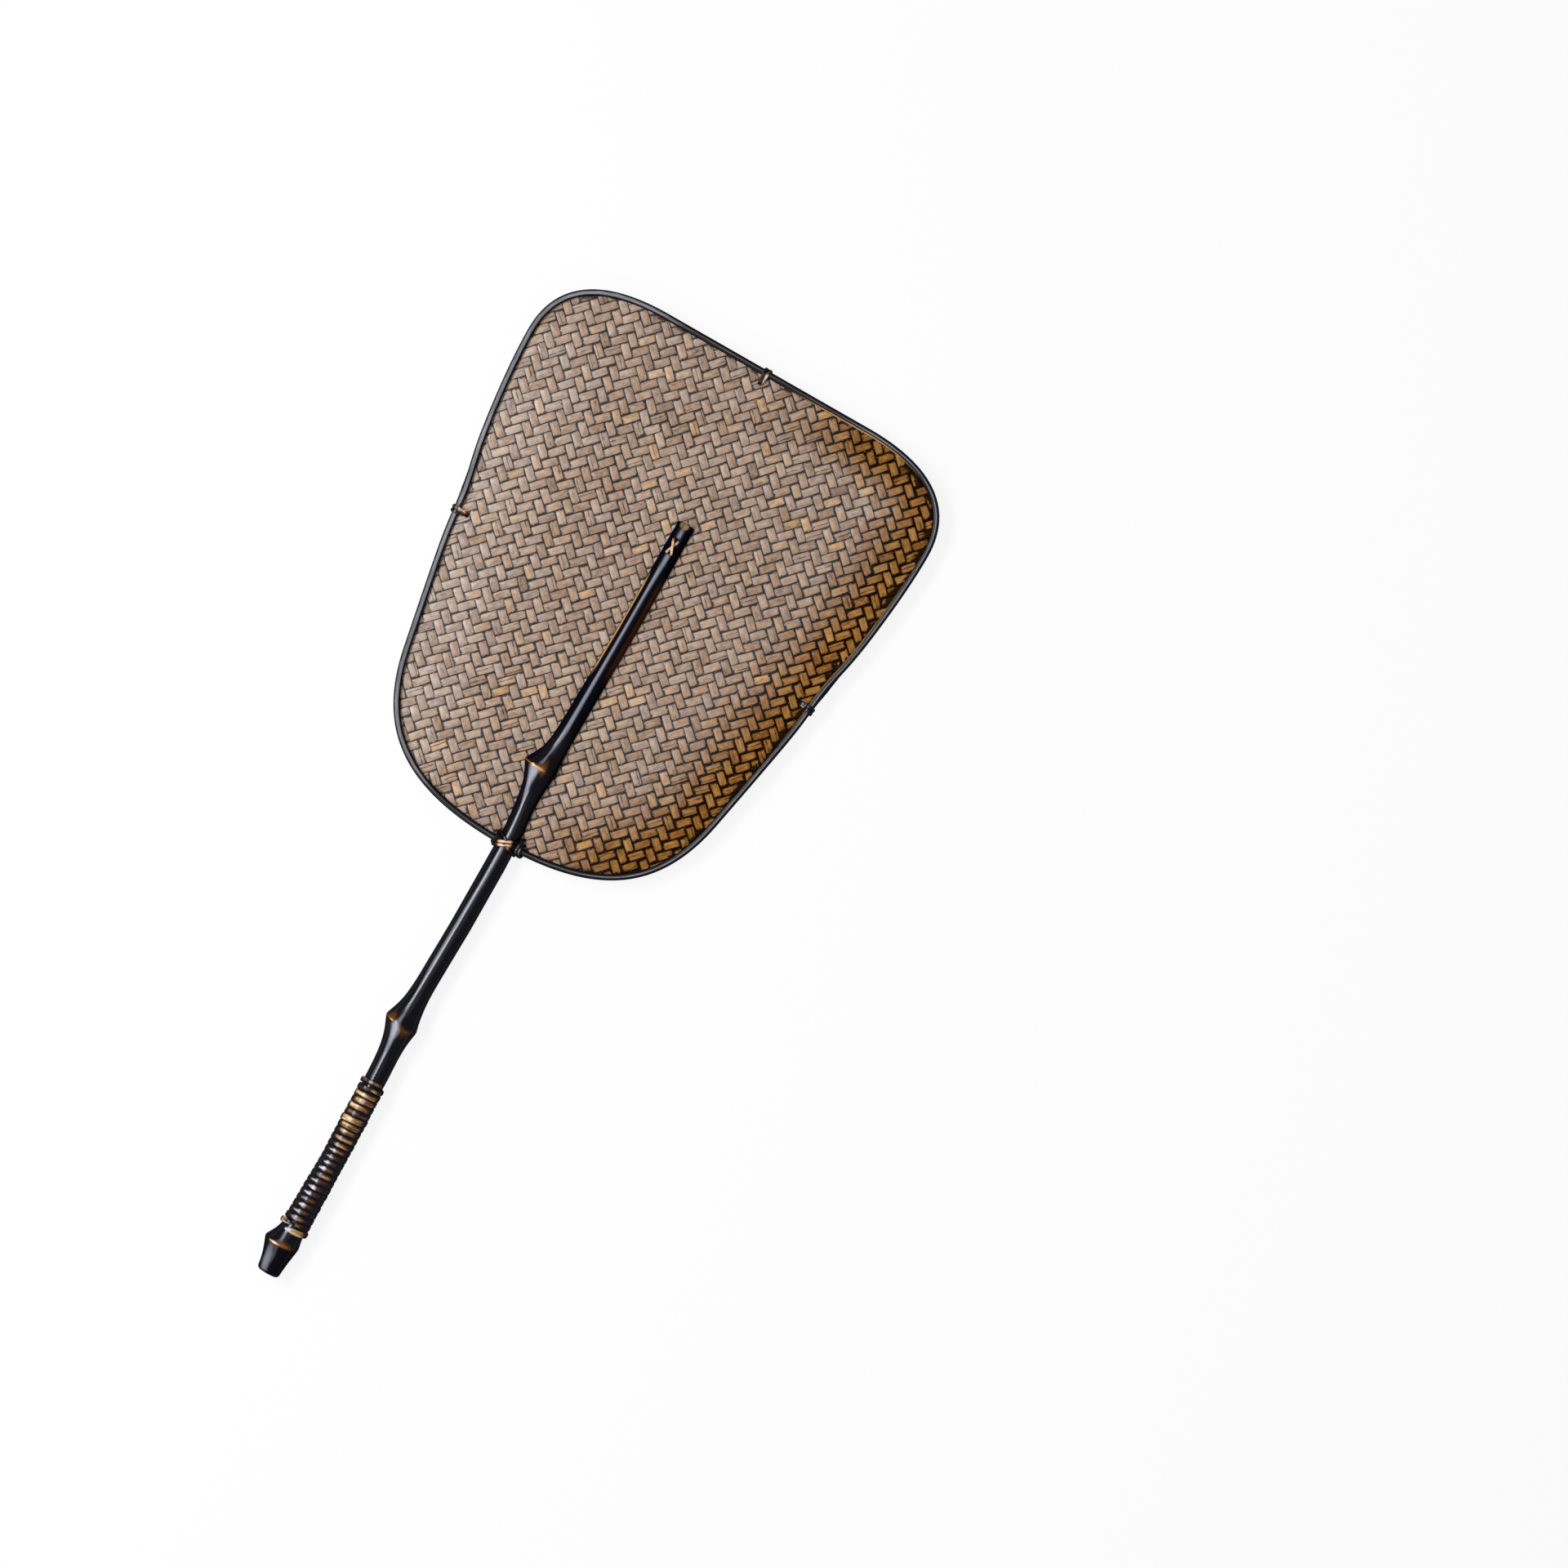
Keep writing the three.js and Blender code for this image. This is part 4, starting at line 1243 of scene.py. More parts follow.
@dataclass
class WovenMat:
    """2/2 twill of bamboo strips, each a band that passes over two and under two.

    A place in the mat is counted in crossings: a along the rising strips and b along the falling
    ones, both from the anchor, which is the middle of a falling strip's float. Rising strip 0 lies
    rising_gap along the falling ones, with a float's middle rising_lead along its own way.
    """

    outline: FaceOutline
    rise: float = 0.33
    thickness: float = 0.42
    crown: float = 0.09
    inside_rim: float = 0.9
    anchor: tuple[float, float] = (3.87, 171.87)
    rising_gap: float = 0.5
    rising_lead: float = 2.5
    rising: StripSet = StripSet(
        "mat_strips_rising",
        math.radians(47.9),
        3.87,
        3.81,
        1.00,
        0.10,
        ("woven_mat",),
        11,
        (
            (0.3, 0.5, -1.2, -2.0),
            (-1.2, -1.4, -0.7, -1.9),
            (-1.3, -1.9, 0.0, -1.6),
            (-0.3, -1.5, -0.4, -0.6),
        ),
    )
    falling: StripSet = StripSet(
        "mat_strips_falling",
        math.radians(136.0),
        4.10,
        4.06,
        0.92,
        -0.10,
        (),
        23,
        (
            (0.8, 0.5, -0.7, -2.2),
            (-0.6, -0.9, -1.3, -1.6),
            (-1.9, -1.7, -1.1, -1.1),
            (-2.6, -1.4, -1.2, -1.4),
        ),
    )
    bow_columns: Sequence[float] = (-75.0, -30.0, 30.0, 75.0)
    bow_rows: Sequence[float] = (30.0, 90.0, 150.0, 210.0)
    cuts: Sequence[float] = (-0.62, -0.3, -0.1, 0.1, 0.3, 0.62, 1.0)
    columns: Sequence[float] = (-0.5, -0.38, 0.0, 0.38, 0.5)
    edge_planes: int = 120
    shortest: float = 0.5
    steepness: float = 1.35
    chances: int = 400
    width_spread: float = 0.03
    tilt_spread: float = 0.10
    drift: tuple[float, float] = (0.12, 0.05)
    drift_lengths: tuple[float, float] = (41.0, 17.0)
    middle_tone: float = 0.48
    float_tones: float = 0.42
    strip_tones: float = 0.28
    rub_spread: float = 0.12
    dark_edge: float = 0.06
    split_share: float = 0.09
    rim_split_share: float = 0.3
    no_split: float = 9.0
    gilt_share: float = 0.03
    gilt: float = 0.9

    def steps(self) -> np.ndarray:
        """Measures the lattice.

        Returns:
            One crossing's step along the rising and along the falling strips, one row each.
        """
        slant = abs(math.sin(self.falling.angle - self.rising.angle))
        rows = []
        for strips, other in ((self.rising, self.falling), (self.falling, self.rising)):
            length = other.pitch / slant
            rows.append([math.cos(strips.angle) * length, math.sin(strips.angle) * length])
        return np.array(rows)

    def locate(self, strips: StripSet, places: np.ndarray) -> StripPlace:
        """Finds where places lie in the strips of one set.

        Args:
            strips: The set of strips.
            places: Places in the mat's plane, one row each.

        Returns:
            Where they lie.
        """
        a, b = ((places - np.array(self.anchor)) @ np.linalg.inv(self.steps())).T
        if strips is self.falling:
            number = np.round(a)
            side = (a - number) * strips.pitch
            return StripPlace(number, side, b * self.rising.pitch, b - number)
        number = np.round(b - self.rising_gap)
        side = (b - self.rising_gap - number) * strips.pitch
        return StripPlace(number, side, a * self.falling.pitch, a - number - self.rising_lead)

    def sway(self, places: np.ndarray) -> np.ndarray:
        """How far the weave lies off its even lattice.

        Args:
            places: Places in the mat's plane, one row each.

        Returns:
            The shift of each place.
        """
        x, y = places.T
        shift = np.zeros((len(places), 2))
        row = np.interp(y, self.bow_rows, range(len(self.bow_rows)))
        for strips in (self.rising, self.falling):
            off = sum(
                np.interp(x, self.bow_columns, level) * np.clip(1 - np.abs(row - i), 0, 1)
                for i, level in enumerate(strips.bow)
            )
            shift += off[:, None] * np.array([-math.sin(strips.angle), math.cos(strips.angle)])
        return shift

    def lift(self, strips: StripSet, phase: np.ndarray) -> np.ndarray:
        """Height of a strip over the middle plane, from -1 on the back to 1 on the front."""
        wave = np.cos(np.pi * phase / 2) + strips.stay
        return np.sin(np.pi / 2 * np.clip(self.steepness * wave, -1, 1))

    def strip_sheet(
        self, strips: StripSet, number: int, edge: np.ndarray
    ) -> bmesh.types.BMesh | None:
        """Lays out one flat strip and trims it to the outline.

        Args:
            strips: The set that it belongs to.
            number: Its number in the set.
            edge: The outline that it is trimmed to.

        Returns:
            The strip's sheet, or nothing where it misses the face.
        """
        is_falling = strips is self.falling
        ahead, beside = self.steps()[::-1] if is_falling else self.steps()
        length = np.linalg.norm(ahead)
        along = ahead / length
        across = np.array([along[1], -along[0]])
        middle = np.array(self.anchor) + beside * (number + (0 if is_falling else self.rising_gap))
        course = np.roll(edge, -1, axis=0) - edge
        normals = np.column_stack([course[:, 1], -course[:, 0]])
        normals /= np.linalg.norm(normals, axis=1)[:, None]
        room = ((edge - middle) * normals).sum(axis=1)
        slopes = normals @ along
        sides = np.abs(normals @ across) * strips.width / 2
        steep = np.abs(slopes) > 1e-6
        limits = (room[steep] + sides[steep]) / slopes[steep]
        low = limits[slopes[steep] < 0].max()
        high = limits[slopes[steep] > 0].min()
        if high - low < self.shortest:
            return None
        start = number + (0 if is_falling else self.rising_lead)
        first = math.floor((low / length - start - 1) / 2) - 1
        last = math.ceil((high / length - start + 1) / 2) + 1
        runs = [
            (start + 1 + 2 * k + cut) * length for k in range(first, last) for cut in self.cuts
        ]
        runs = [low] + [run for run in runs if low < run < high] + [high]
        mesh = bmesh.new()
        grid = {"x_segments": len(self.columns) - 1, "y_segments": len(runs) - 1, "size": 0.5}
        bmesh.ops.create_grid(mesh, **grid)
        for vert in mesh.verts:
            column = round((vert.co.x + 0.5) * (len(self.columns) - 1))
            row = round((vert.co.y + 0.5) * (len(runs) - 1))
            place = middle + across * self.columns[column] * strips.width + along * runs[row]
            vert.co = (*place, 0.0)
        for corner, normal, gap, slope, side in zip(edge, normals, room, slopes, sides):
            if max(slope * low, slope * high) + side > gap:
                bmesh.ops.bisect_plane(
                    mesh,
                    geom=mesh.verts[:] + mesh.edges[:] + mesh.faces[:],
                    dist=1e-5,
                    plane_co=(*corner, 0.0),
                    plane_no=(*normal, 0.0),
                    clear_outer=True,
                )
        return mesh if mesh.faces else None

    def flat_sheet(self, strips: StripSet) -> bmesh.types.BMesh:
        """Lays out all the strips of a set side by side in the middle plane.

        Args:
            strips: The set of strips.

        Returns:
            The strips' mesh, without thickness.
        """
        edge = self.outline.inset(self.edge_planes, self.inside_rim)
        edge = edge - self.sway(edge)
        mesh = bmesh.new()
        reach = int(2.2 * self.outline.half_width / strips.pitch)
        scratch = bpy.data.meshes.new("strip")
        for number in range(-reach, reach + 1):
            strip = self.strip_sheet(strips, number, edge)
            if strip is not None:
                strip.to_mesh(scratch)
                strip.free()
                mesh.from_mesh(scratch)
        bpy.data.meshes.remove(scratch)
        return mesh

    def sheet(self, strips: StripSet) -> tuple[bmesh.types.BMesh, dict[str, np.ndarray]]:
        """Bends a set's strips over and under, thickens them and gives each its own way.

        Args:
            strips: The set of strips.

        Returns:
            The strips' mesh and the attributes of its points.
        """
        mesh = self.flat_sheet(strips)
        places = points_of(mesh)
        where = self.locate(strips, places[:, :2])
        places[:, 2] = self.rise * self.lift(strips, where.phase)
        move_points(mesh, places)
        mesh.normal_update()
        turned = [face for face in mesh.faces if face.normal.z < 0]
        bmesh.ops.reverse_faces(mesh, faces=turned)
        bmesh.ops.solidify(mesh, geom=mesh.faces[:], thickness=self.thickness)
        places = points_of(mesh)
        downwards = places[:, 2].max() + places[:, 2].min() < 0
        places[:, 2] += self.thickness / 2 * (1 if downwards else -1)
        where = self.locate(strips, places[:, :2])
        middle = self.rise * self.lift(strips, where.phase)
        is_top = places[:, 2] > middle
        share = np.abs(where.side) / strips.width
        squeeze = 1 - 0.6 * smooth_step(share, 0.39, 0.5)
        places[:, 2] = middle + (places[:, 2] - middle) * squeeze
        places[:, 2] -= self.crown * (2 * share) ** 2 * np.where(is_top, 1, -1)
        self.stray(strips, places, where)
        places[:, :2] += self.sway(places[:, :2])
        move_points(mesh, places)
        bmesh.ops.recalc_face_normals(mesh, faces=mesh.faces)
        return mesh, self.marks(strips, places, where, is_top)

    def stray(self, strips: StripSet, places: np.ndarray, where: StripPlace) -> None:
        """Gives each strip its own width, a slight wander and a slight tilt.

        Args:
            strips: The set of strips.
            places: The points' places, which change.
            where: Where the points lie in their strips.
        """
        dice = np.random.default_rng(strips.seed + 1)
        size = self.chances
        rows = where.number.astype(int) + size // 2
        width = 1 + self.width_spread * (dice.random(size)[rows] - 0.5)
        wander = np.zeros(len(places))
        for drift, length in zip(self.drift, self.drift_lengths):
            start = 0.55 * where.number + dice.random(size)[rows] * 0.8
            wander += drift * np.sin(2 * np.pi * where.run / length + start)
        shift = where.side * (width - 1) + wander
        ahead = strips.angle + (-np.pi / 2 if strips is self.falling else np.pi / 2)
        places[:, 0] += np.cos(ahead) * shift
        places[:, 1] += np.sin(ahead) * shift
        floats = np.round(where.phase / 2).astype(int) + size // 2
        roll = (dice.random((size, size))[rows, floats % size] - 0.5) * self.tilt_spread
        places[:, 2] += roll * where.side * np.abs(self.lift(strips, where.phase)) ** 2

    def marks(
        self, strips: StripSet, places: np.ndarray, where: StripPlace, is_top: np.ndarray
    ) -> dict[str, np.ndarray]:
        """Attributes of the strips' points.

        Args:
            strips: The set of strips.
            places: The points' places, one row each.
            where: Where they lie in their strips.
            is_top: Whether they lie on the strips' front side.

        Returns:
            The fibre coordinates; the share of the rubbed float across and along, with the
            distance from a split; the float's tone, gilding and lustre; the gloss and painted sheen
            of its lacquer; and the painted shade that darkens it near the rim.
        """
        dice = np.random.default_rng(strips.seed)
        phase = where.phase - np.where(is_top, 0, 2)
        floats = np.round(phase / 4)
        size = self.chances
        rows = where.number.astype(int) + size // 2
        columns = (floats.astype(int) * 2 + is_top + size // 2) % size
        tables = dice.random((7, size, size))
        luck, gilding, offset, length, cleft, cleft_side, lustre = (
            table[rows, columns] for table in tables
        )
        tone = self.middle_tone + self.float_tones * (luck - 0.5)
        tone += self.strip_tones * (dice.random(size)[rows] - 0.5)
        gilt = np.where(gilding < self.gilt_share, self.gilt, 0.0)
        gap = np.abs(phase - 4 * floats + self.rub_spread * (offset - 0.5))
        along = gap / (strips.rub * (1 + self.rub_spread * (length - 0.5)))
        across = np.abs(where.side) / (strips.width / 2 - self.dark_edge)
        depth, nearest = self.outline.depth(places[:, :2])
        split = where.side - (cleft_side - 0.5) * strips.width * 0.5
        splits = self.split_share + self.rim_split_share * (1 - smooth_step(depth, 5.0, 15.0))
        split = np.where(cleft < splits, split, self.no_split)
        # Painted shade by the rim: deepest along the right-hand side, and a narrow band all round.
        at_right = smooth_step(nearest[:, 0], 62.0, 92.0)
        painted_rim_shade = 0.62 * at_right * (1 - smooth_step(depth, 2.6, 7.5))
        painted_rim_shade += 0.3 * (1 - smooth_step(depth, 2.4, 5.0))
        fibre = np.column_stack([where.side, where.run, where.number * 7.3])
        return {
            "fibre": fibre,
            "rub": np.column_stack([across, along, split]),
            "tone": np.column_stack([tone, gilt, lustre]),
            "gloss_and_painted_sheen": self.gloss_and_painted_sheen(depth, nearest),
            "painted_rim_shade": painted_rim_shade,
        }

    def gloss_and_painted_sheen(self, depth: np.ndarray, nearest: np.ndarray) -> np.ndarray:
        """Gloss and painted sheen of the lacquer: highest along the left-hand rim, none along the
        right-hand one.

        Args:
            depth: How far the points lie inside the outline.
            nearest: The places on the outline that are nearest to them.

        Returns:
            A number from 0 to 1 for each point.
        """
        x, y = nearest.T
        reach = 42.0 - 13.0 * smooth_step(y, 215.0, 243.0)
        right = smooth_step(x, 0.0, 58.0) * (1 - smooth_step(depth, 10.0, reach))
        left = (1 - smooth_step(x, -90.0, -30.0)) * (1 - smooth_step(depth, 0.0, 50.0))
        left = left * (1 - smooth_step(y, 185.0, 235.0))
        return np.clip(0.72 + 0.28 * left - 0.72 * right, 0.0, 1.0)

    def build(self, bench: Workbench) -> None:
        """Makes the two pieces of the mat.

        Args:
            bench: The bench that takes them.
        """
        for strips in (self.rising, self.falling):
            mesh, marks = self.sheet(strips)
            finish = StripBamboo(strips.name).make()
            bench.piece(strips.name, mesh, finish, strips.nodes, marks, 60.0)


@dataclass
class RimHoops:
    """Two split bamboo hoops that clamp the mat's edge, each with a slanted joint."""

    outline: FaceOutline
    width: float = 3.0
    height: float = 1.9
    seat: float = 0.9
    scarf: float = 10.0
    scarf_gap: float = 1.0
    joint_y: float = 119.6
    steps: int = 312
    section_sides: int = 30
    mark_steps: int = 360

    def hoop(self, side: Side) -> bmesh.types.BMesh:
        """Sweeps one hoop.

        Args:
            side: The face that it lies on.

        Returns:
            Its mesh.
        """
        middle = self.outline.inset(self.steps, self.width / 2)
        joint = np.array([-side.value * self.outline.half_width, self.joint_y])
        first = int(np.linalg.norm(middle - joint, axis=1).argmin())
        turned = np.roll(middle, -first, axis=0)
        line = np.vstack([turned, turned[:1]])
        ahead = (line[-1] - line[-2]) / np.linalg.norm(line[-1] - line[-2])
        line[-1] -= ahead * self.scarf_gap
        out = UP * side.value
        places = [Vector((x, y, side.value * self.seat)) for x, y in line]
        frames = route_frames(places, [out] * len(places), False)
        slant = self.scarf / self.width
        for end, inner in ((0, 1), (-1, -2)):
            direction = (places[inner] - places[end]) * (1 if end == 0 else -1)
            frames[end] = frame_at(places[end], direction, out, slant)
        mesh = bmesh.new()
        sweep(mesh, Section(self.width, self.height, self.section_sides), frames)
        return mesh

    def marks(self, side: Side, places: np.ndarray) -> dict[str, np.ndarray]:
        """Attributes of a hoop's points.

        Args:
            side: The face that it lies on.
            places: The points' places, one row each.

        Returns:
            How its fibres lie, where it is rubbed bare, and its painted highlight line.
        """
        depth, nearest = self.outline.depth(places[:, :2])
        edge = self.outline.points(self.mark_steps)
        run = np.hypot(*(np.roll(edge, -1, axis=0) - edge).T).mean()
        index = np.linalg.norm(nearest[:, None, :] - edge[None, :, :], axis=2).argmin(axis=1)
        lie = np.column_stack([depth, index * run, places[:, 2]])
        inner = smooth_step(depth, self.width * 0.72, self.width * 0.95)
        inner = inner * smooth_step(side.value * places[:, 2], 1.2, 2.2)
        corner = bell(nearest[:, 0], 48.0, 34.0) * (nearest[:, 1] > 225)
        flank = bell(nearest[:, 1], 150.0, 70.0) * (nearest[:, 0] > 60) * 0.55
        wear = inner * np.maximum(corner, flank) * (side is Side.FRONT)
        # Painted highlight line along the hoop, widest on the left-hand side.
        at_left = smooth_step(-nearest[:, 0], 30.0, 60.0)
        at_right = smooth_step(nearest[:, 0], 30.0, 60.0)
        half = 0.34 + 0.4 * at_left - 0.08 * at_right
        line = 1 - smooth_step(np.abs(depth - 1.6 + 0.2 * at_right), half * 0.5, half * 1.4)
        painted_glint = line * (0.34 + 0.22 * at_left + 0.3 * at_right) * (side.value * places[:, 2] > 1.5)
        return {"lie": lie, "wear": wear, "painted_glint": painted_glint}

    def build(self, bench: Workbench) -> None:
        """Makes both hoops.

        Args:
            bench: The bench that takes them.
        """
        finish = RimBamboo().make()
        for side in Side:
            mesh = self.hoop(side)
            name = f"hoop_{side.name.lower()}"
            marks = self.marks(side, points_of(mesh))
            marks["gloss"] = gloss_of(mesh)
            bench.piece(name, mesh, finish, [f"rim_{name}"], marks)


@dataclass(frozen=True)
class TieSpot:
    """One of the rim's three ties, with how golden its first and its second turn are worn."""

    name: str
    x: float
    y: float
    gold: tuple[float, float]


@dataclass
class RimTies:
    """Flat cane tied through the mat and round both hoops, two turns at each place."""

    outline: FaceOutline
    width: float = 1.7
    height: float = 0.7
    turns: int = 2
    pitch: float = 1.85
    gather: float = 0.62
    reach: float = 7.0
    start: float = 0.62
    clearance: float = 0.25
    rim_width: float = 3.0
    rim_half: float = 2.8
    mat_half: float = 0.65
    steps: int = 44
    edge_steps: int = 1664
    loop_steps: int = 400
    second_rise: float = 0.45
    spots: Sequence[TieSpot] = (
        TieSpot("tie_top", -0.6, 244.5, (0.72, 0.2)),
        TieSpot("tie_left", -104.7, 118.0, (0.8, 0.2)),
        TieSpot("tie_right", 104.7, 118.8, (0.08, 0.08)),
    )

    def turn(self) -> list[Vector]:
        """Lays out one turn.

        Returns:
            Places of a smooth loop, with depth behind the rim's edge as x and height as z.
        """
        top = self.rim_half + self.clearance
        front = [
            (-self.clearance * 0.8, top * 0.6),
            (self.rim_width * 0.24, top),
            (self.rim_width * 0.8, top),
            (self.rim_width + self.clearance * 2, top * 0.72),
            (self.reach - self.height, self.mat_half + self.clearance * 2),
        ]
        back = [(depth, -height) for depth, height in reversed(front)]
        knots = [(-self.clearance, 0.0), *front, (self.reach, 0.0), *back]
        return smooth_loop([Vector((depth, 0, rise)) for depth, rise in knots], self.loop_steps)

    def strand(self, spot: TieSpot) -> tuple[bmesh.types.BMesh, Matrix]:
        """Sweeps the tie at a spot.

        Args:
            spot: The spot.

        Returns:
            The tie's mesh, and the frame of the rim there: inward, along, up and the edge.
        """
        edge = self.outline.points(self.edge_steps)
        nearest = int(np.linalg.norm(edge - np.array([spot.x, spot.y]), axis=1).argmin())
        ahead = self.outline.directions(edge)[nearest]
        along = Vector((*ahead, 0))
        inward = Vector((-ahead[1], ahead[0], 0))
        loop = self.turn()
        places, outs = [], []
        for i in range(self.turns * self.steps + 1):
            step = int((self.start + i / self.steps) * self.loop_steps)
            here, after, before = (loop[(step + k) % self.loop_steps] for k in (0, 3, -3))
            course = (after - before).normalized()
            inside = float(smooth_step(here.x, 0.5, self.reach))
            drift = self.pitch * (i / self.steps - self.turns / 2) * (1 - self.gather * inside)
            rise = 1 + self.second_rise * inside * (i > self.steps)
            base = Vector((*edge[nearest], 0))
            places.append(base + inward * here.x + UP * here.z * rise + along * drift)
            outs.append(inward * -course.z + UP * course.x)
        mesh = bmesh.new()
        sweep(mesh, Section(self.width, self.height), route_frames(places, outs, False))
        columns = Matrix((inward, along, UP)).transposed().to_4x4()
        return mesh, Matrix.Translation((*edge[nearest], 0)) @ columns

    def build(self, bench: Workbench) -> None:
        """Makes the three ties.

        Args:
            bench: The bench that takes them.
        """
        finish = Cane("tie_cane").make()
        for spot in self.spots:
            mesh, frame = self.strand(spot)
            places = points_of(mesh)
            local = (places - np.array(frame.translation)) @ np.array(frame.to_3x3())
            share = smooth_step(local[:, 1], -0.5, 0.5)
            worn = (1 - share) * spot.gold[0] + share * spot.gold[1]
            worn = worn * (local[:, 2] > -1.0) * (1 - 0.5 * smooth_step(local[:, 0], 5.2, 7.0))
            worn = worn * (0.3 + 0.7 * smooth_step(local[:, 0], 0.8, 2.6))
            lie = np.column_stack([local[:, 1], local[:, 0] + local[:, 2], places[:, 0] * 0.3])
            # Painted highlight on the top of the first turn.
            painted_glint = 0.75 * (1 - share) * (spot.gold[0] > 0.5) * bell(local[:, 0], 3.0, 1.0)
            painted_glint = painted_glint * (local[:, 2] > 1.0)
            marks = {"lie": lie, "wear": worn, "painted_glint": painted_glint, "gloss": gloss_of(mesh)}
            bench.piece(spot.name, mesh, finish, [f"rim_{spot.name}"], marks)


def smooth_loop(knots: Sequence[Vector], count: int) -> list[Vector]:
    """Draws a closed, centripetal Catmull-Rom curve.

    Args:
        knots: The places that it passes through.
        count: How many places are wanted.

    Returns:
        Equally spaced places on it.
    """
    total = len(knots)
    steps = 60
    dense = []
    for i in range(total):
        a, b, c, d = (knots[(i + k - 1) % total] for k in range(4))
        stops = [0.0]
        for before, after in ((a, b), (b, c), (c, d)):
            stops.append(stops[-1] + max(1e-4, (after - before).length ** 0.5))
        t0, t1, t2, t3 = stops
        for k in range(steps):
            t = t1 + (t2 - t1) * k / steps
            ab = a * ((t1 - t) / (t1 - t0)) + b * ((t - t0) / (t1 - t0))
            bc = b * ((t2 - t) / (t2 - t1)) + c * ((t - t1) / (t2 - t1))
            cd = c * ((t3 - t) / (t3 - t2)) + d * ((t - t2) / (t3 - t2))
            abc = ab * ((t2 - t) / (t2 - t0)) + bc * ((t - t0) / (t2 - t0))
            bcd = bc * ((t3 - t) / (t3 - t1)) + cd * ((t - t1) / (t3 - t1))
            dense.append(abc * ((t2 - t) / (t2 - t1)) + bcd * ((t - t1) / (t2 - t1)))
    rows = np.array([point[:] for point in [*dense, dense[0]]])
    run = np.concatenate([[0], np.cumsum(np.linalg.norm(np.diff(rows, axis=0), axis=1))])
    wanted = np.linspace(0, run[-1], count, endpoint=False)
    even = np.column_stack([np.interp(wanted, run, rows[:, k]) for k in range(3)])
    return [Vector(row) for row in even]


@dataclass
class CrossStrand:
    """A closed strand that crosses itself in front: a lashing's X or a stitch's eight."""

    centre: Vector
    run: Vector
    side: Vector
    half_run: float
    half_side: float
    front: float
    back: float
    lift: float
    squareness: float
    section: Section
    steps: int = 144

    def soften(self, value: float) -> float:
        """Squares a circle's coordinate."""
        return math.copysign(abs(value) ** (2 / self.squareness), value)

    def build(self) -> bmesh.types.BMesh:
        """Sweeps the strand.

        Returns:
            Its mesh.
        """
        places, outs = [], []
        for i in range(self.steps):
            angle = 4 * math.pi * (i + 0.5) / self.steps
            is_front = math.sin(angle) > 0
            is_second = angle > 2 * math.pi
            hand = -1 if is_second else 1
            lean = -hand * self.soften(math.cos(angle)) if is_front else hand
            rise = self.lift * max(0.0, math.sin(angle)) ** 2 if is_second else 0.0
            cos, sin = self.soften(math.cos(angle)), self.soften(math.sin(angle))
            place = self.centre + self.run * (-self.half_run * cos)
            place += self.side * (self.half_side * lean)
            place += UP * (sin * (self.front if is_front else self.back) + rise)
            places.append(place)
            flat = -math.cos(angle) * abs(cos) ** (self.squareness - 2)
            outs.append(self.run * flat + UP * math.sin(angle))
        mesh = bmesh.new()
        sweep(mesh, self.section, route_frames(places, outs, True), True)
        return mesh


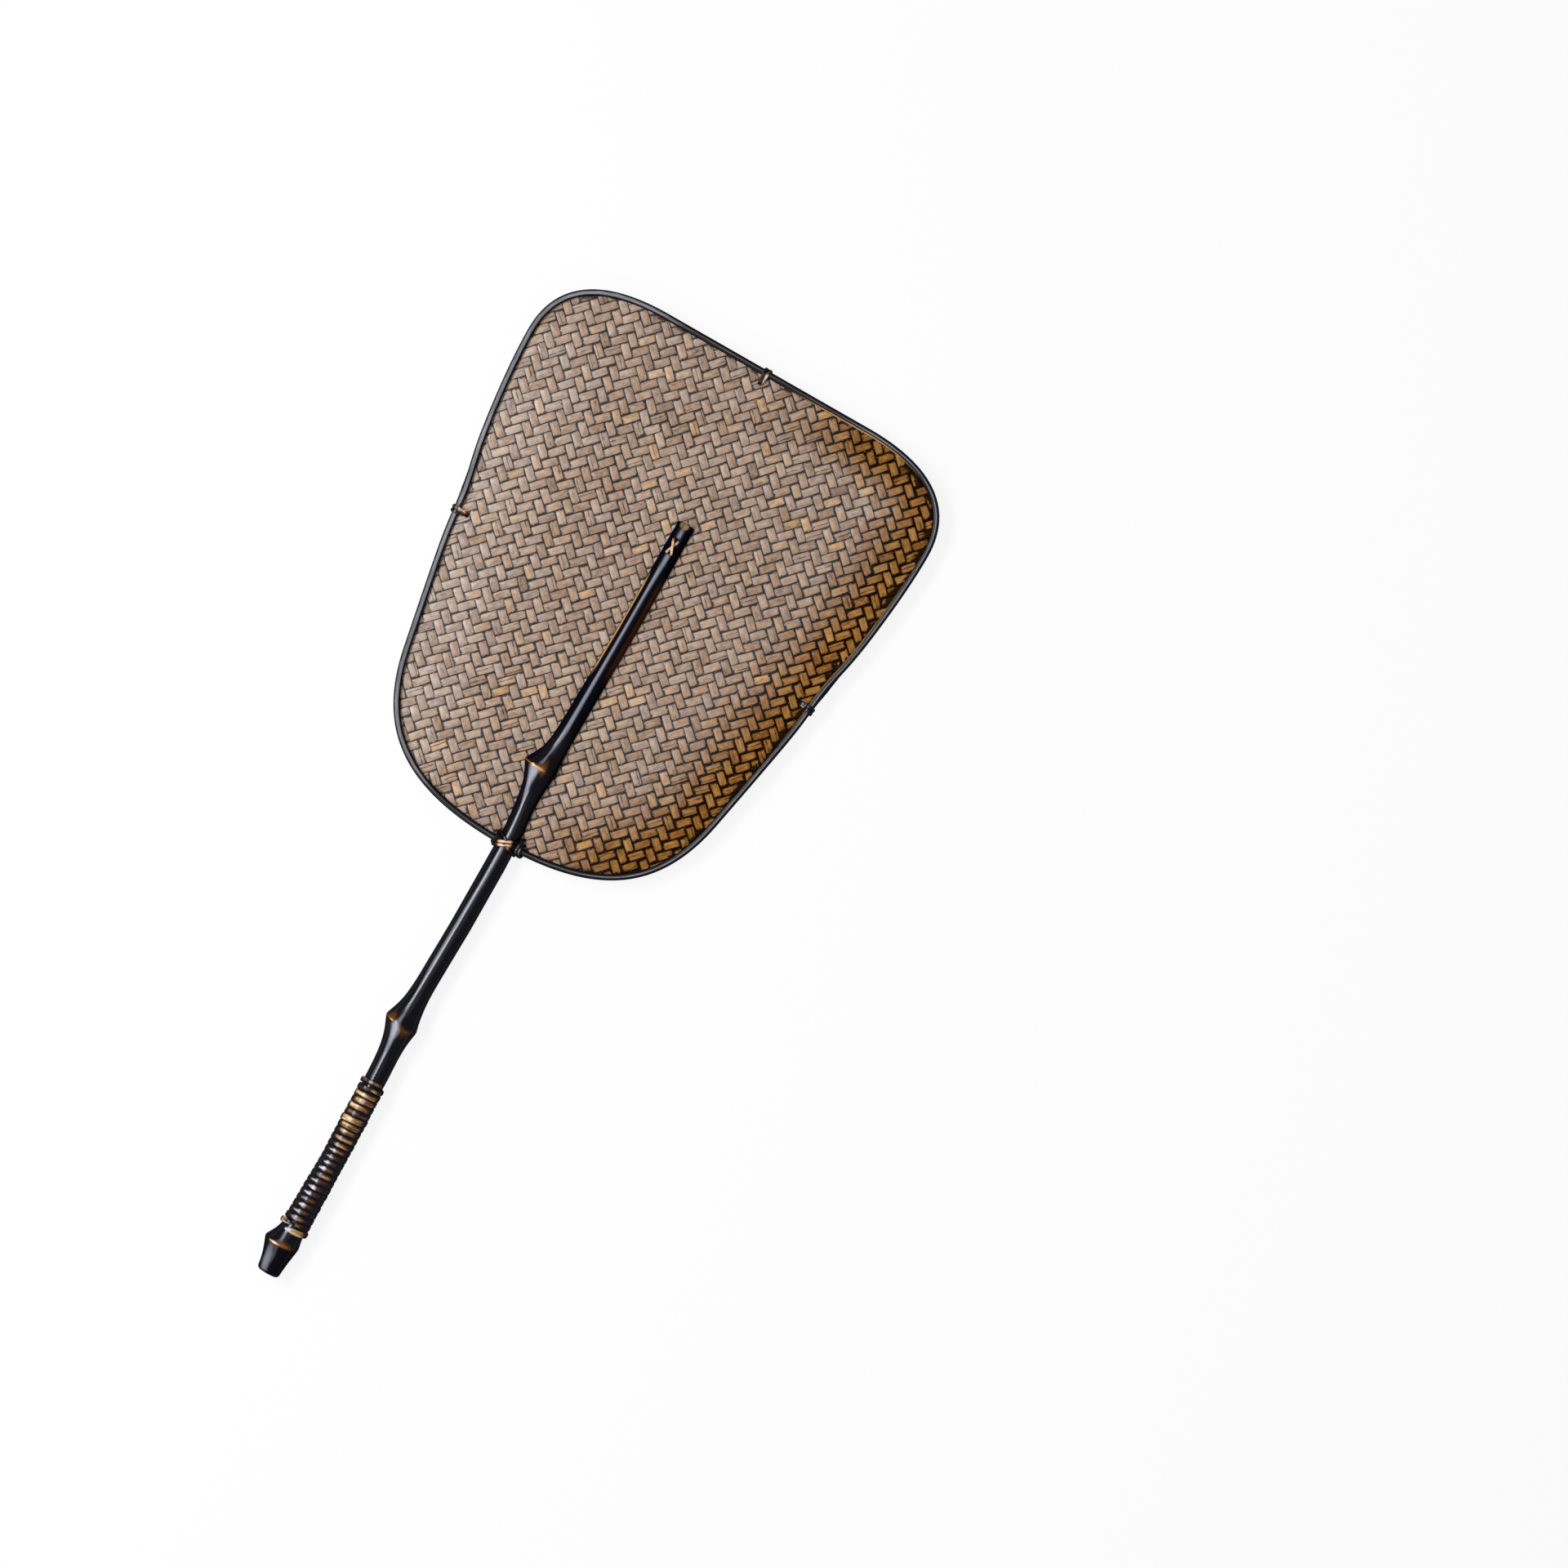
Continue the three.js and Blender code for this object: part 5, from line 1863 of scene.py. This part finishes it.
@dataclass
class CrossingLashing:
    """Cane lashed in two crosses where the handle passes the rim, with turns round the rim."""

    handle: BambooHandle
    rim_y: float = -1.5
    width: float = 1.7
    height: float = 1.1
    clearance: float = 0.25
    hoop_width: float = 3.0
    rim_half: float = 2.8
    turn_gap: float = 0.48
    turn_steps: int = 60
    turn_wear: float = 0.12
    cross_width: float = 1.3
    crosses: Sequence[tuple[str, float, Sequence[str]]] = (
        ("lashing_cross", 1.3, ("crossing_lashing",)),
        ("lashing_cross_lower", -0.5, ()),
    )
    rim_turns: Sequence[tuple[str, float, float, float]] = (
        ("lashing_left", -6.0, 0.5, 0.4),
        ("lashing_right_inner", 5.9, -0.3, 3.2),
        ("lashing_right_outer", 7.7, -0.7, 1.0),
    )

    def build(self, bench: Workbench) -> None:
        """Makes the two crosses and the turns round the rim.

        Args:
            bench: The bench that takes the pieces.
        """
        x, radius = (float(value) for value in self.handle.line(self.rim_y))
        round_handle = radius + self.clearance * 1.5
        finish = Cane("lashing_cane").make()
        for name, shift, nodes in self.crosses:
            cross = CrossStrand(
                centre=Vector((x, self.rim_y + shift, 0)),
                run=ACROSS,
                side=-ALONG,
                half_run=round_handle,
                half_side=self.hoop_width / 2 + self.clearance * 1.5 + self.cross_width / 2,
                front=round_handle,
                back=round_handle,
                lift=self.height + self.turn_gap,
                squareness=2.0,
                section=Section(self.cross_width, self.height),
            )
            mesh = cross.build()
            places = points_of(mesh)
            marks = self.marks(places, x, shift, cross.half_side / cross.half_run)
            marks["gloss"] = gloss_of(mesh)
            bench.piece(name, mesh, finish, nodes, marks)
        for name, place, lean, climb in self.rim_turns:
            turn = self.rim_turn(x + place, lean, climb)
            places = points_of(turn)
            lie = np.column_stack([places[:, 0], places[:, 1] + places[:, 2], places[:, 0] * 0.1])
            wear = np.full(len(places), self.turn_wear)
            marks = {"lie": lie, "wear": wear, "gloss": gloss_of(turn)}
            bench.piece(name, turn, finish, (), marks)

    def marks(
        self, places: np.ndarray, x: float, shift: float, slope: float
    ) -> dict[str, np.ndarray]:
        """Attributes of a cross's points.

        Args:
            places: The points' places.
            x: The crossing's place across.
            shift: How far the cross lies above the rim's middle.
            slope: How far its strands climb for each millimetre across.

        Returns:
            How the fibres lie, how far they are worn, and their painted highlight.
        """
        across = places[:, 0] - x
        up = places[:, 1] - self.rim_y
        is_rising = np.abs(up - shift - slope * across) < np.abs(up - shift + slope * across)
        near = 1 - smooth_step(np.hypot(across + 0.8, up * 0.9), 2.4, 4.4)
        level = np.where(is_rising, 0.92, 0.62 * smooth_step(across, -0.5, 1.0))
        # Painted highlight at the lower left of the cross.
        low = bell(across, -1.4, 1.6) * bell(up, -2.4, 1.2)
        in_front = places[:, 2] > 0
        lie = np.column_stack([up, across, places[:, 2] * 0.3])
        return {"lie": lie, "wear": level * near * in_front, "painted_glint": 0.8 * low * in_front}

    def rim_turn(self, x: float, lean: float, climb: float) -> bmesh.types.BMesh:
        """Sweeps one closed turn round the rim.

        Args:
            x: Its place along the rim.
            lean: How far its front lies to the right of its back.
            climb: How far it reaches over the mat past the rim.

        Returns:
            Its mesh.
        """
        half = self.hoop_width / 2 + self.clearance
        top = self.rim_half + self.clearance
        corners = [(1.0, 0.55), (0.62, 1.0), (-0.62, 1.0), (-1.0, 0.55)]
        corners += [(-1.0, -0.55), (-0.62, -1.0), (0.62, -1.0), (1.0, -0.55)]
        knots = []
        for out, up in corners:
            reach = out * half + climb * max(0.0, out)
            knots.append(Vector((x + lean * up, self.rim_y + reach, up * top)))
        route = smooth_loop(knots, self.turn_steps)
        centre = Vector((x, self.rim_y, 0))
        outs = [place - centre for place in route]
        mesh = bmesh.new()
        sweep(mesh, Section(self.width, self.height), route_frames(route, outs, True), True)
        return mesh


@dataclass
class TipStitch:
    """Small eight of cane that holds the two tongues of the handle together near its tip."""

    handle: BambooHandle
    half_length: float = 3.3
    half_spread: float = 1.3
    width: float = 1.15
    height: float = 0.7
    clearance: float = 0.25
    turn_gap: float = 0.48
    front_from: float = 3.2

    def build(self, bench: Workbench) -> None:
        """Makes the stitch.

        Args:
            bench: The bench that takes the piece.
        """
        y = self.handle.stitch_y
        _, radius = self.handle.line(y)
        eight = CrossStrand(
            centre=Vector((self.handle.flute_x, y, 0)),
            run=ALONG,
            side=ACROSS,
            half_run=self.half_length,
            half_side=self.half_spread,
            front=float(radius) - self.handle.flute_depth + self.clearance * 2,
            back=float(radius) + self.clearance * 2,
            lift=self.height + self.turn_gap,
            squareness=6.0,
            section=Section(self.width, self.height),
        )
        mesh = eight.build()
        places = points_of(mesh)
        worn = 0.9 - 0.25 * bell(places[:, 1], y + 0.3, 0.9)
        worn -= 0.3 * smooth_step(places[:, 1], y + 2.2, y + 4.0)
        in_front = places[:, 2] > self.front_from
        worn = np.where(in_front, worn, 0.1)
        lie = np.column_stack([places[:, 0], places[:, 1], places[:, 2] * 0.3])
        finish = Cane("stitch_cane").make()
        # Painted highlight across the front, below the stitch's middle.
        painted_glint = 0.4 * bell(places[:, 1], y - 1.6, 0.8) * in_front
        marks = {"lie": lie, "wear": worn, "painted_glint": painted_glint, "gloss": gloss_of(mesh)}
        bench.piece("stitch", mesh, finish, ["tip_stitch"], marks)


@dataclass(frozen=True)
class GripStrand:
    """One of the three strands wound on the grip, end behind end on the same helix."""

    name: str
    node: str
    turns: float
    width: float
    height: float


@dataclass
class GripWinding:
    """Cane wound on the grip between two collars."""

    handle: BambooHandle
    start_angle: float = math.radians(120)
    collar_from_end: float = 22.3
    butt_pitch: float = 3.33
    pitch: float = 3.18
    clearance: float = 0.25
    proud_turn: float = 18.08
    proud_crown: float = 1.6
    end_gap: float = -1.9
    taper: float = 4.5
    steps_per_turn: int = 48
    section_sides: int = 20
    turn_length: float = 34.0
    chances: int = 64
    lap_spacing: float = 0.9
    lap_seed: int = 7
    wear_seed: int = 5
    strands: Sequence[GripStrand] = (
        GripStrand("collar_butt", "grip_collar_butt", 1.08, 2.85, 1.3),
        GripStrand("winding", "grip_winding", 22.0, 3.22, 0.85),
        GripStrand("collar_top", "grip_collar_top", 1.15, 2.5, 1.0),
    )

    def height(self, turns: np.ndarray | float) -> np.ndarray | float:
        """Measures how high the helix has climbed.

        Args:
            turns: Turns from its start.

        Returns:
            The height there.
        """
        collar = np.minimum(turns, self.strands[0].turns)
        start = self.handle.butt + self.collar_from_end
        return start + collar * self.butt_pitch + (turns - collar) * self.pitch

    def wind(self, strand: GripStrand, start: float) -> tuple[bmesh.types.BMesh, np.ndarray]:
        """Spins one strand round the handle.

        Args:
            strand: The strand.
            start: The turn at which it starts.

        Returns:
            Its mesh, and for each point its turn and its place across the strand.
        """
        steps = round(strand.turns * self.steps_per_turn)
        mesh = bmesh.new()
        section = Section(strand.width, strand.height, self.section_sides)
        edges = section.draw(mesh, frame_at(Vector((1, 0, 0)), Vector((0, 0, -1)), ACROSS))
        ring = list({vert for edge in edges for vert in edge.verts})
        bmesh.ops.spin(
            mesh,
            geom=ring + edges,
            cent=(0, 0, 0),
            axis=ALONG,
            dvec=(0, self.pitch / self.steps_per_turn, 0),
            angle=strand.turns * 2 * math.pi,
            steps=steps,
        )
        bmesh.ops.holes_fill(mesh, edges=[edge for edge in mesh.edges if edge.is_boundary])
        bmesh.ops.recalc_face_normals(mesh, faces=mesh.faces)
        places = points_of(mesh)
        around = -np.arctan2(places[:, 2], places[:, 0]) / (2 * math.pi)
        laps = np.round(places[:, 1] / self.pitch - around)
        turn = np.clip(around + laps, 0, strand.turns)
        across = places[:, 1] - turn * self.pitch
        over = np.hypot(places[:, 0], places[:, 2]) - 1
        absolute = turn + start
        near_proud = np.clip(1.2 - 2 * np.abs(absolute - self.proud_turn), 0, 1)
        over = over * (1 + (self.proud_crown - 1) * near_proud)
        _, radius = self.handle.line(self.height(absolute))
        to_end = np.minimum(turn, strand.turns - turn) * 2 * math.pi * radius
        full = smooth_step(to_end, 0.0, self.taper)
        over = over * (0.3 + 0.7 * full) * self.lap_share(absolute, 0, 0.3)
        across = across * (0.35 + 0.65 * full) * self.lap_share(absolute, 1, 0.1)
        angle = self.start_angle - absolute * 2 * math.pi
        y = self.height(absolute) + across
        x, radius = self.handle.line(self.height(absolute))
        out = radius + self.clearance + over
        move_points(mesh, np.column_stack([x + np.cos(angle) * out, y, np.sin(angle) * out]))
        return mesh, np.column_stack([absolute, across / strand.width])

    def lap_share(self, turn: np.ndarray, row: int, spread: float) -> np.ndarray:
        """Draws a smooth factor near 1 that differs from lap to lap.

        Args:
            turn: Turns from the helix's start.
            row: Which row of chances it reads.
            spread: How far apart its lowest and highest value may lie.

        Returns:
            The factor at each turn.
        """
        dice = np.random.default_rng(self.lap_seed).random((2, self.chances))[row]
        places = np.arange(self.chances) * self.lap_spacing
        return 1 + spread * (np.interp(turn, places, dice) - 0.5)

    def worn(
        self, measure: np.ndarray, places: np.ndarray, strand: GripStrand
    ) -> tuple[np.ndarray, np.ndarray]:
        """How far the lacquer is rubbed off.

        Args:
            measure: The turn and the place across of each point.
            places: The points' places.
            strand: The strand.

        Returns:
            How bare the cane is and how strong its painted highlight, from 0 to 1 for each point.
        """
        turn, across = measure.T
        x, y, z = places.T
        lap = np.round(turn - 0.08).astype(int) % self.chances
        tables = np.random.default_rng(self.wear_seed).random((6, self.chances))
        bare, first, last, width, offset, highlight_strength = tables[:, lap]
        front = smooth_step(z, 0.3, 3.5)
        high = smooth_step(y, -168.0, -141.0)
        middle = np.abs(across - 0.2 * (offset - 0.5) + 0.02 * (x - 4.0))
        # The painted highlight is a wedge on each lap, widening to the right.
        spot_x = x - 1.4 * (first - 0.5)
        spot_half = (0.05 + 0.28 * smooth_step(spot_x, 0.6, 4.2)) * (0.6 + 0.6 * width)
        line_half = 0.10 + 0.16 * width + 0.12 * high
        wedge = 1 - smooth_step(middle, spot_half * 0.5, spot_half * 1.5)
        crown = 1 - smooth_step(middle, line_half * 0.5, line_half * 1.7)
        if strand.name == "collar_butt":
            is_lower = turn < 0.5
            gold = smooth_step(x, 3.2, 6.2) * (1 - smooth_step(x, 9.6, 12.6)) * 0.6 + 0.12
            pink = 0.40 * (1 - smooth_step(x, 0.2, 2.0)) + 0.06
            # lip and tip are painted highlights: a thin line along the lower edge and a pale spot.
            lip = 0.7 * bell(across, -0.3, 0.12) * smooth_step(x, -0.8, 1.0)
            tip = 0.8 * smooth_step(x, 1.6, 2.8) * (1 - smooth_step(x, 3.8, 7.0))
            worn = np.where(is_lower, gold, pink)
            pale = np.where(is_lower, tip, lip + 0.3 * bell(x, -0.6, 0.9))
            return front * worn, front * pale
        if strand.name == "collar_top":
            worn = 0.26 + 0.36 * bell(x, 6.4, 1.6) + 0.12 * bell(x, 0.0, 1.2)
            # Painted highlight spots.
            pale = 0.6 * bell(x, 3.6, 1.0) + 0.25 * bell(x, 0.6, 0.9)
            return front * crown * worn, front * crown * pale
        near_proud = np.clip(1.25 - 1.6 * np.abs(turn - self.proud_turn), 0, 1)
        begins = 4.6 + 1.2 * (first - 0.5) - 5.6 * high * (0.7 + 0.3 * bare)
        ends = 9.4 + 1.8 * (last - 0.5) + 0.9 * high
        level = (1 - high) * (0.28 + 0.32 * bare)
        level += high * (0.60 + 0.36 * bare - 0.30 * smooth_step(x, 3.2, 6.2))
        level *= 1 - 0.8 * smooth_step(y, -131.5, -129.5)
        opens = smooth_step(x, begins - 1.2, begins + 0.8)
        worn = level * crown * opens * (1 - smooth_step(x, ends - 1.8, ends + 0.8))
        proud = smooth_step(x, -1.4, 0.4) * (1 - smooth_step(x, 8.0, 11.5))
        proud *= 0.6 + 0.25 * (1 - smooth_step(x, 2.5, 6.0))
        stain = smooth_step(x, 3.0, 5.0) * (1 - smooth_step(x, 8.5, 11.0))
        ridge = 1 - smooth_step(np.abs(across), 0.2, 0.42)
        worn = np.maximum(worn, (0.2 * stain + 0.16 * bell(x, 0.2, 1.2)) * ridge)
        worn *= 1 - near_proud
        worn += proud * near_proud * (1 - smooth_step(np.abs(across), 0.3, 0.52))
        # Painted highlight: the wedge on the front, weaker on the upper laps and the proud turn.
        pale = wedge * smooth_step(spot_x, 0.6, 2.4) * (1 - smooth_step(spot_x, 4.2, 6.2))
        pale *= (0.25 + 0.7 * highlight_strength) * (1 - 0.45 * high) * (1 - 0.8 * near_proud)
        return front * worn, front * pale

    def build(self, bench: Workbench) -> None:
        """Makes the winding and its two collars.

        Args:
            bench: The bench that takes the pieces.
        """
        finish = Cane("grip_cane", olive_share=0.75).make()
        start = 0.0
        for i, strand in enumerate(self.strands):
            mesh, measure = self.wind(strand, start)
            places = points_of(mesh)
            turn, across = measure.T
            lie = np.column_stack([across * strand.width, turn * self.turn_length, turn * 0.2])
            # pale is the painted highlight.
            worn, pale = self.worn(measure, places, strand)
            marks = {"lie": lie, "wear": worn, "painted_glint": pale, "gloss": gloss_of(mesh)}
            bench.piece(strand.name, mesh, finish, [strand.node], marks)
            end = start + strand.turns
            _, radius = self.handle.line(self.height(end))
            later = self.strands[i + 1].height if i + 1 < len(self.strands) else 0.0
            start = end + (strand.height + later + self.end_gap) / (2 * math.pi * float(radius))


@dataclass
class Studio:
    """Plain pale floor, soft lamps and the camera above the fan."""

    target: tuple[float, float, float]
    roll: float = math.radians(29.75)
    frame_width: float = 0.7135
    camera_height: float = 3.0
    floor_size: float = 12.0
    floor_glow: float = 0.88
    lit_place: tuple[float, float, float] = (0.02, 0.08, 0.01)
    lamp_distance: float = 1.6

    def camera(self) -> None:
        """Looks straight down, turned so that the fan leans to the right."""
        data = bpy.data.cameras.new("camera")
        data.sensor_width = 36.0
        data.lens = data.sensor_width * self.camera_height / self.frame_width
        data.clip_end = 50.0
        made = bpy.data.objects.new("camera", data)
        x, y, z = self.target
        made.location = (x, y, z + self.camera_height)
        made.rotation_euler = (0, 0, self.roll)
        bpy.context.scene.collection.objects.link(made)
        bpy.context.scene.camera = made

    def softbox(
        self,
        name: str,
        aim: tuple[float, float],
        tilt: float,
        size: tuple[float, float],
        level: float,
    ) -> None:
        """Adds a soft lamp.

        Args:
            name: The lamp's name.
            aim: Direction in the floor's plane from the fan to the lamp.
            tilt: Angle of the lamp from straight above, in degrees.
            size: Its width and length, in metres.
            level: The light that it gives a white surface under it, where 1 is white.
        """
        data = bpy.data.lights.new(name, "AREA")
        data.shape = "RECTANGLE"
        data.size, data.size_y = size
        slope = math.cos(math.radians(tilt))
        data.energy = level * math.pi * math.pi * self.lamp_distance**2 / slope
        made = bpy.data.objects.new(name, data)
        away = Vector((*aim, 0)).normalized() * math.sin(math.radians(tilt)) + UP * slope
        made.location = Vector(self.lit_place) + away * self.lamp_distance
        made.rotation_mode = "QUATERNION"
        made.rotation_quaternion = away.to_track_quat("Z", "Y")
        bpy.context.scene.collection.objects.link(made)

    def world(self, level: float) -> None:
        """Fills the room with even light.

        Args:
            level: Its strength, where 1 makes a white surface white.
        """
        world = bpy.data.worlds.new("room")
        world.use_nodes = True
        background = world.node_tree.nodes["Background"]
        background.inputs["Color"].default_value = (1, 1, 1, 1)
        background.inputs["Strength"].default_value = level
        bpy.context.scene.world = world

    def floor(self) -> None:
        """Lays a white floor, which looks white and still takes the fan's shadow."""
        mesh = bmesh.new()
        bmesh.ops.create_grid(mesh, x_segments=1, y_segments=1, size=self.floor_size / 2)
        data = bpy.data.meshes.new("floor")
        mesh.to_mesh(data)
        mesh.free()
        graph = Graph("white_floor")
        diffuse = graph.node("ShaderNodeBsdfDiffuse", {}, {"Color": (0.9, 0.9, 0.9)})
        glow = graph.node("ShaderNodeEmission", {}, {"Color": (1, 1, 1), "Strength": 1.0})
        rays = graph.node("ShaderNodeLightPath", {}, {})
        kinds = ("Is Camera Ray", "Is Glossy Ray", "Is Transmission Ray")
        camera, glossy, passing = graph.outputs(rays, *kinds)
        share = camera.larger(glossy).larger(passing) * self.floor_glow
        graph.show(graph.node("ShaderNodeMixShader", {}, {0: share, 1: diffuse, 2: glow}))
        data.materials.append(graph.material)
        made = bpy.data.objects.new("floor", data)
        bpy.context.scene.collection.objects.link(made)
        made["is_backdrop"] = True

    def build(self) -> None:
        """Sets the studio up."""
        self.camera()
        self.floor()
        self.softbox("key", aim=(-1.0, -0.12), tilt=33.0, size=(1.0, 0.42), level=0.72)
        self.softbox("low", aim=(-0.35, -1.0), tilt=48.0, size=(0.6, 0.45), level=0.13)
        self.softbox("top", aim=(0.3, 1.0), tilt=4.0, size=(0.95, 0.95), level=0.07)
        self.world(level=0.2)
        bpy.context.scene.view_settings.view_transform = "Standard"


def corners() -> list[list[float]]:
    """Lowest and highest corner of what is shown, as plain lists."""
    return [list(corner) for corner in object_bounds()]


def main() -> None:
    """Builds the fan's pieces in order and sets up the studio."""
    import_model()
    outline = FaceOutline()
    low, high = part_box("rim_hoop_front")
    under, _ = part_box("rim_hoop_back")
    middle = Vector(
        ((low.x + high.x) / 2, high.y - outline.above / METRE, (high.z + under.z) / 2)
    )
    placement = Matrix.Translation(middle) @ Matrix.Diagonal((1 / METRE,) * 3).to_4x4()
    bench = Workbench(placement)
    handle = BambooHandle()
    Studio(target=(0.0991, 0.0746, middle.z)).build()
    handle.build(bench)
    WovenMat(FaceOutline(waist_depth=0.0)).build(bench)
    RimHoops(outline).build(bench)
    RimTies(outline).build(bench)
    CrossingLashing(handle).build(bench)
    TipStitch(handle).build(bench)
    GripWinding(handle).build(bench)


if __name__ == "__main__":
    logging.basicConfig(level=logging.INFO, format="%(name)s %(message)s")
    main()
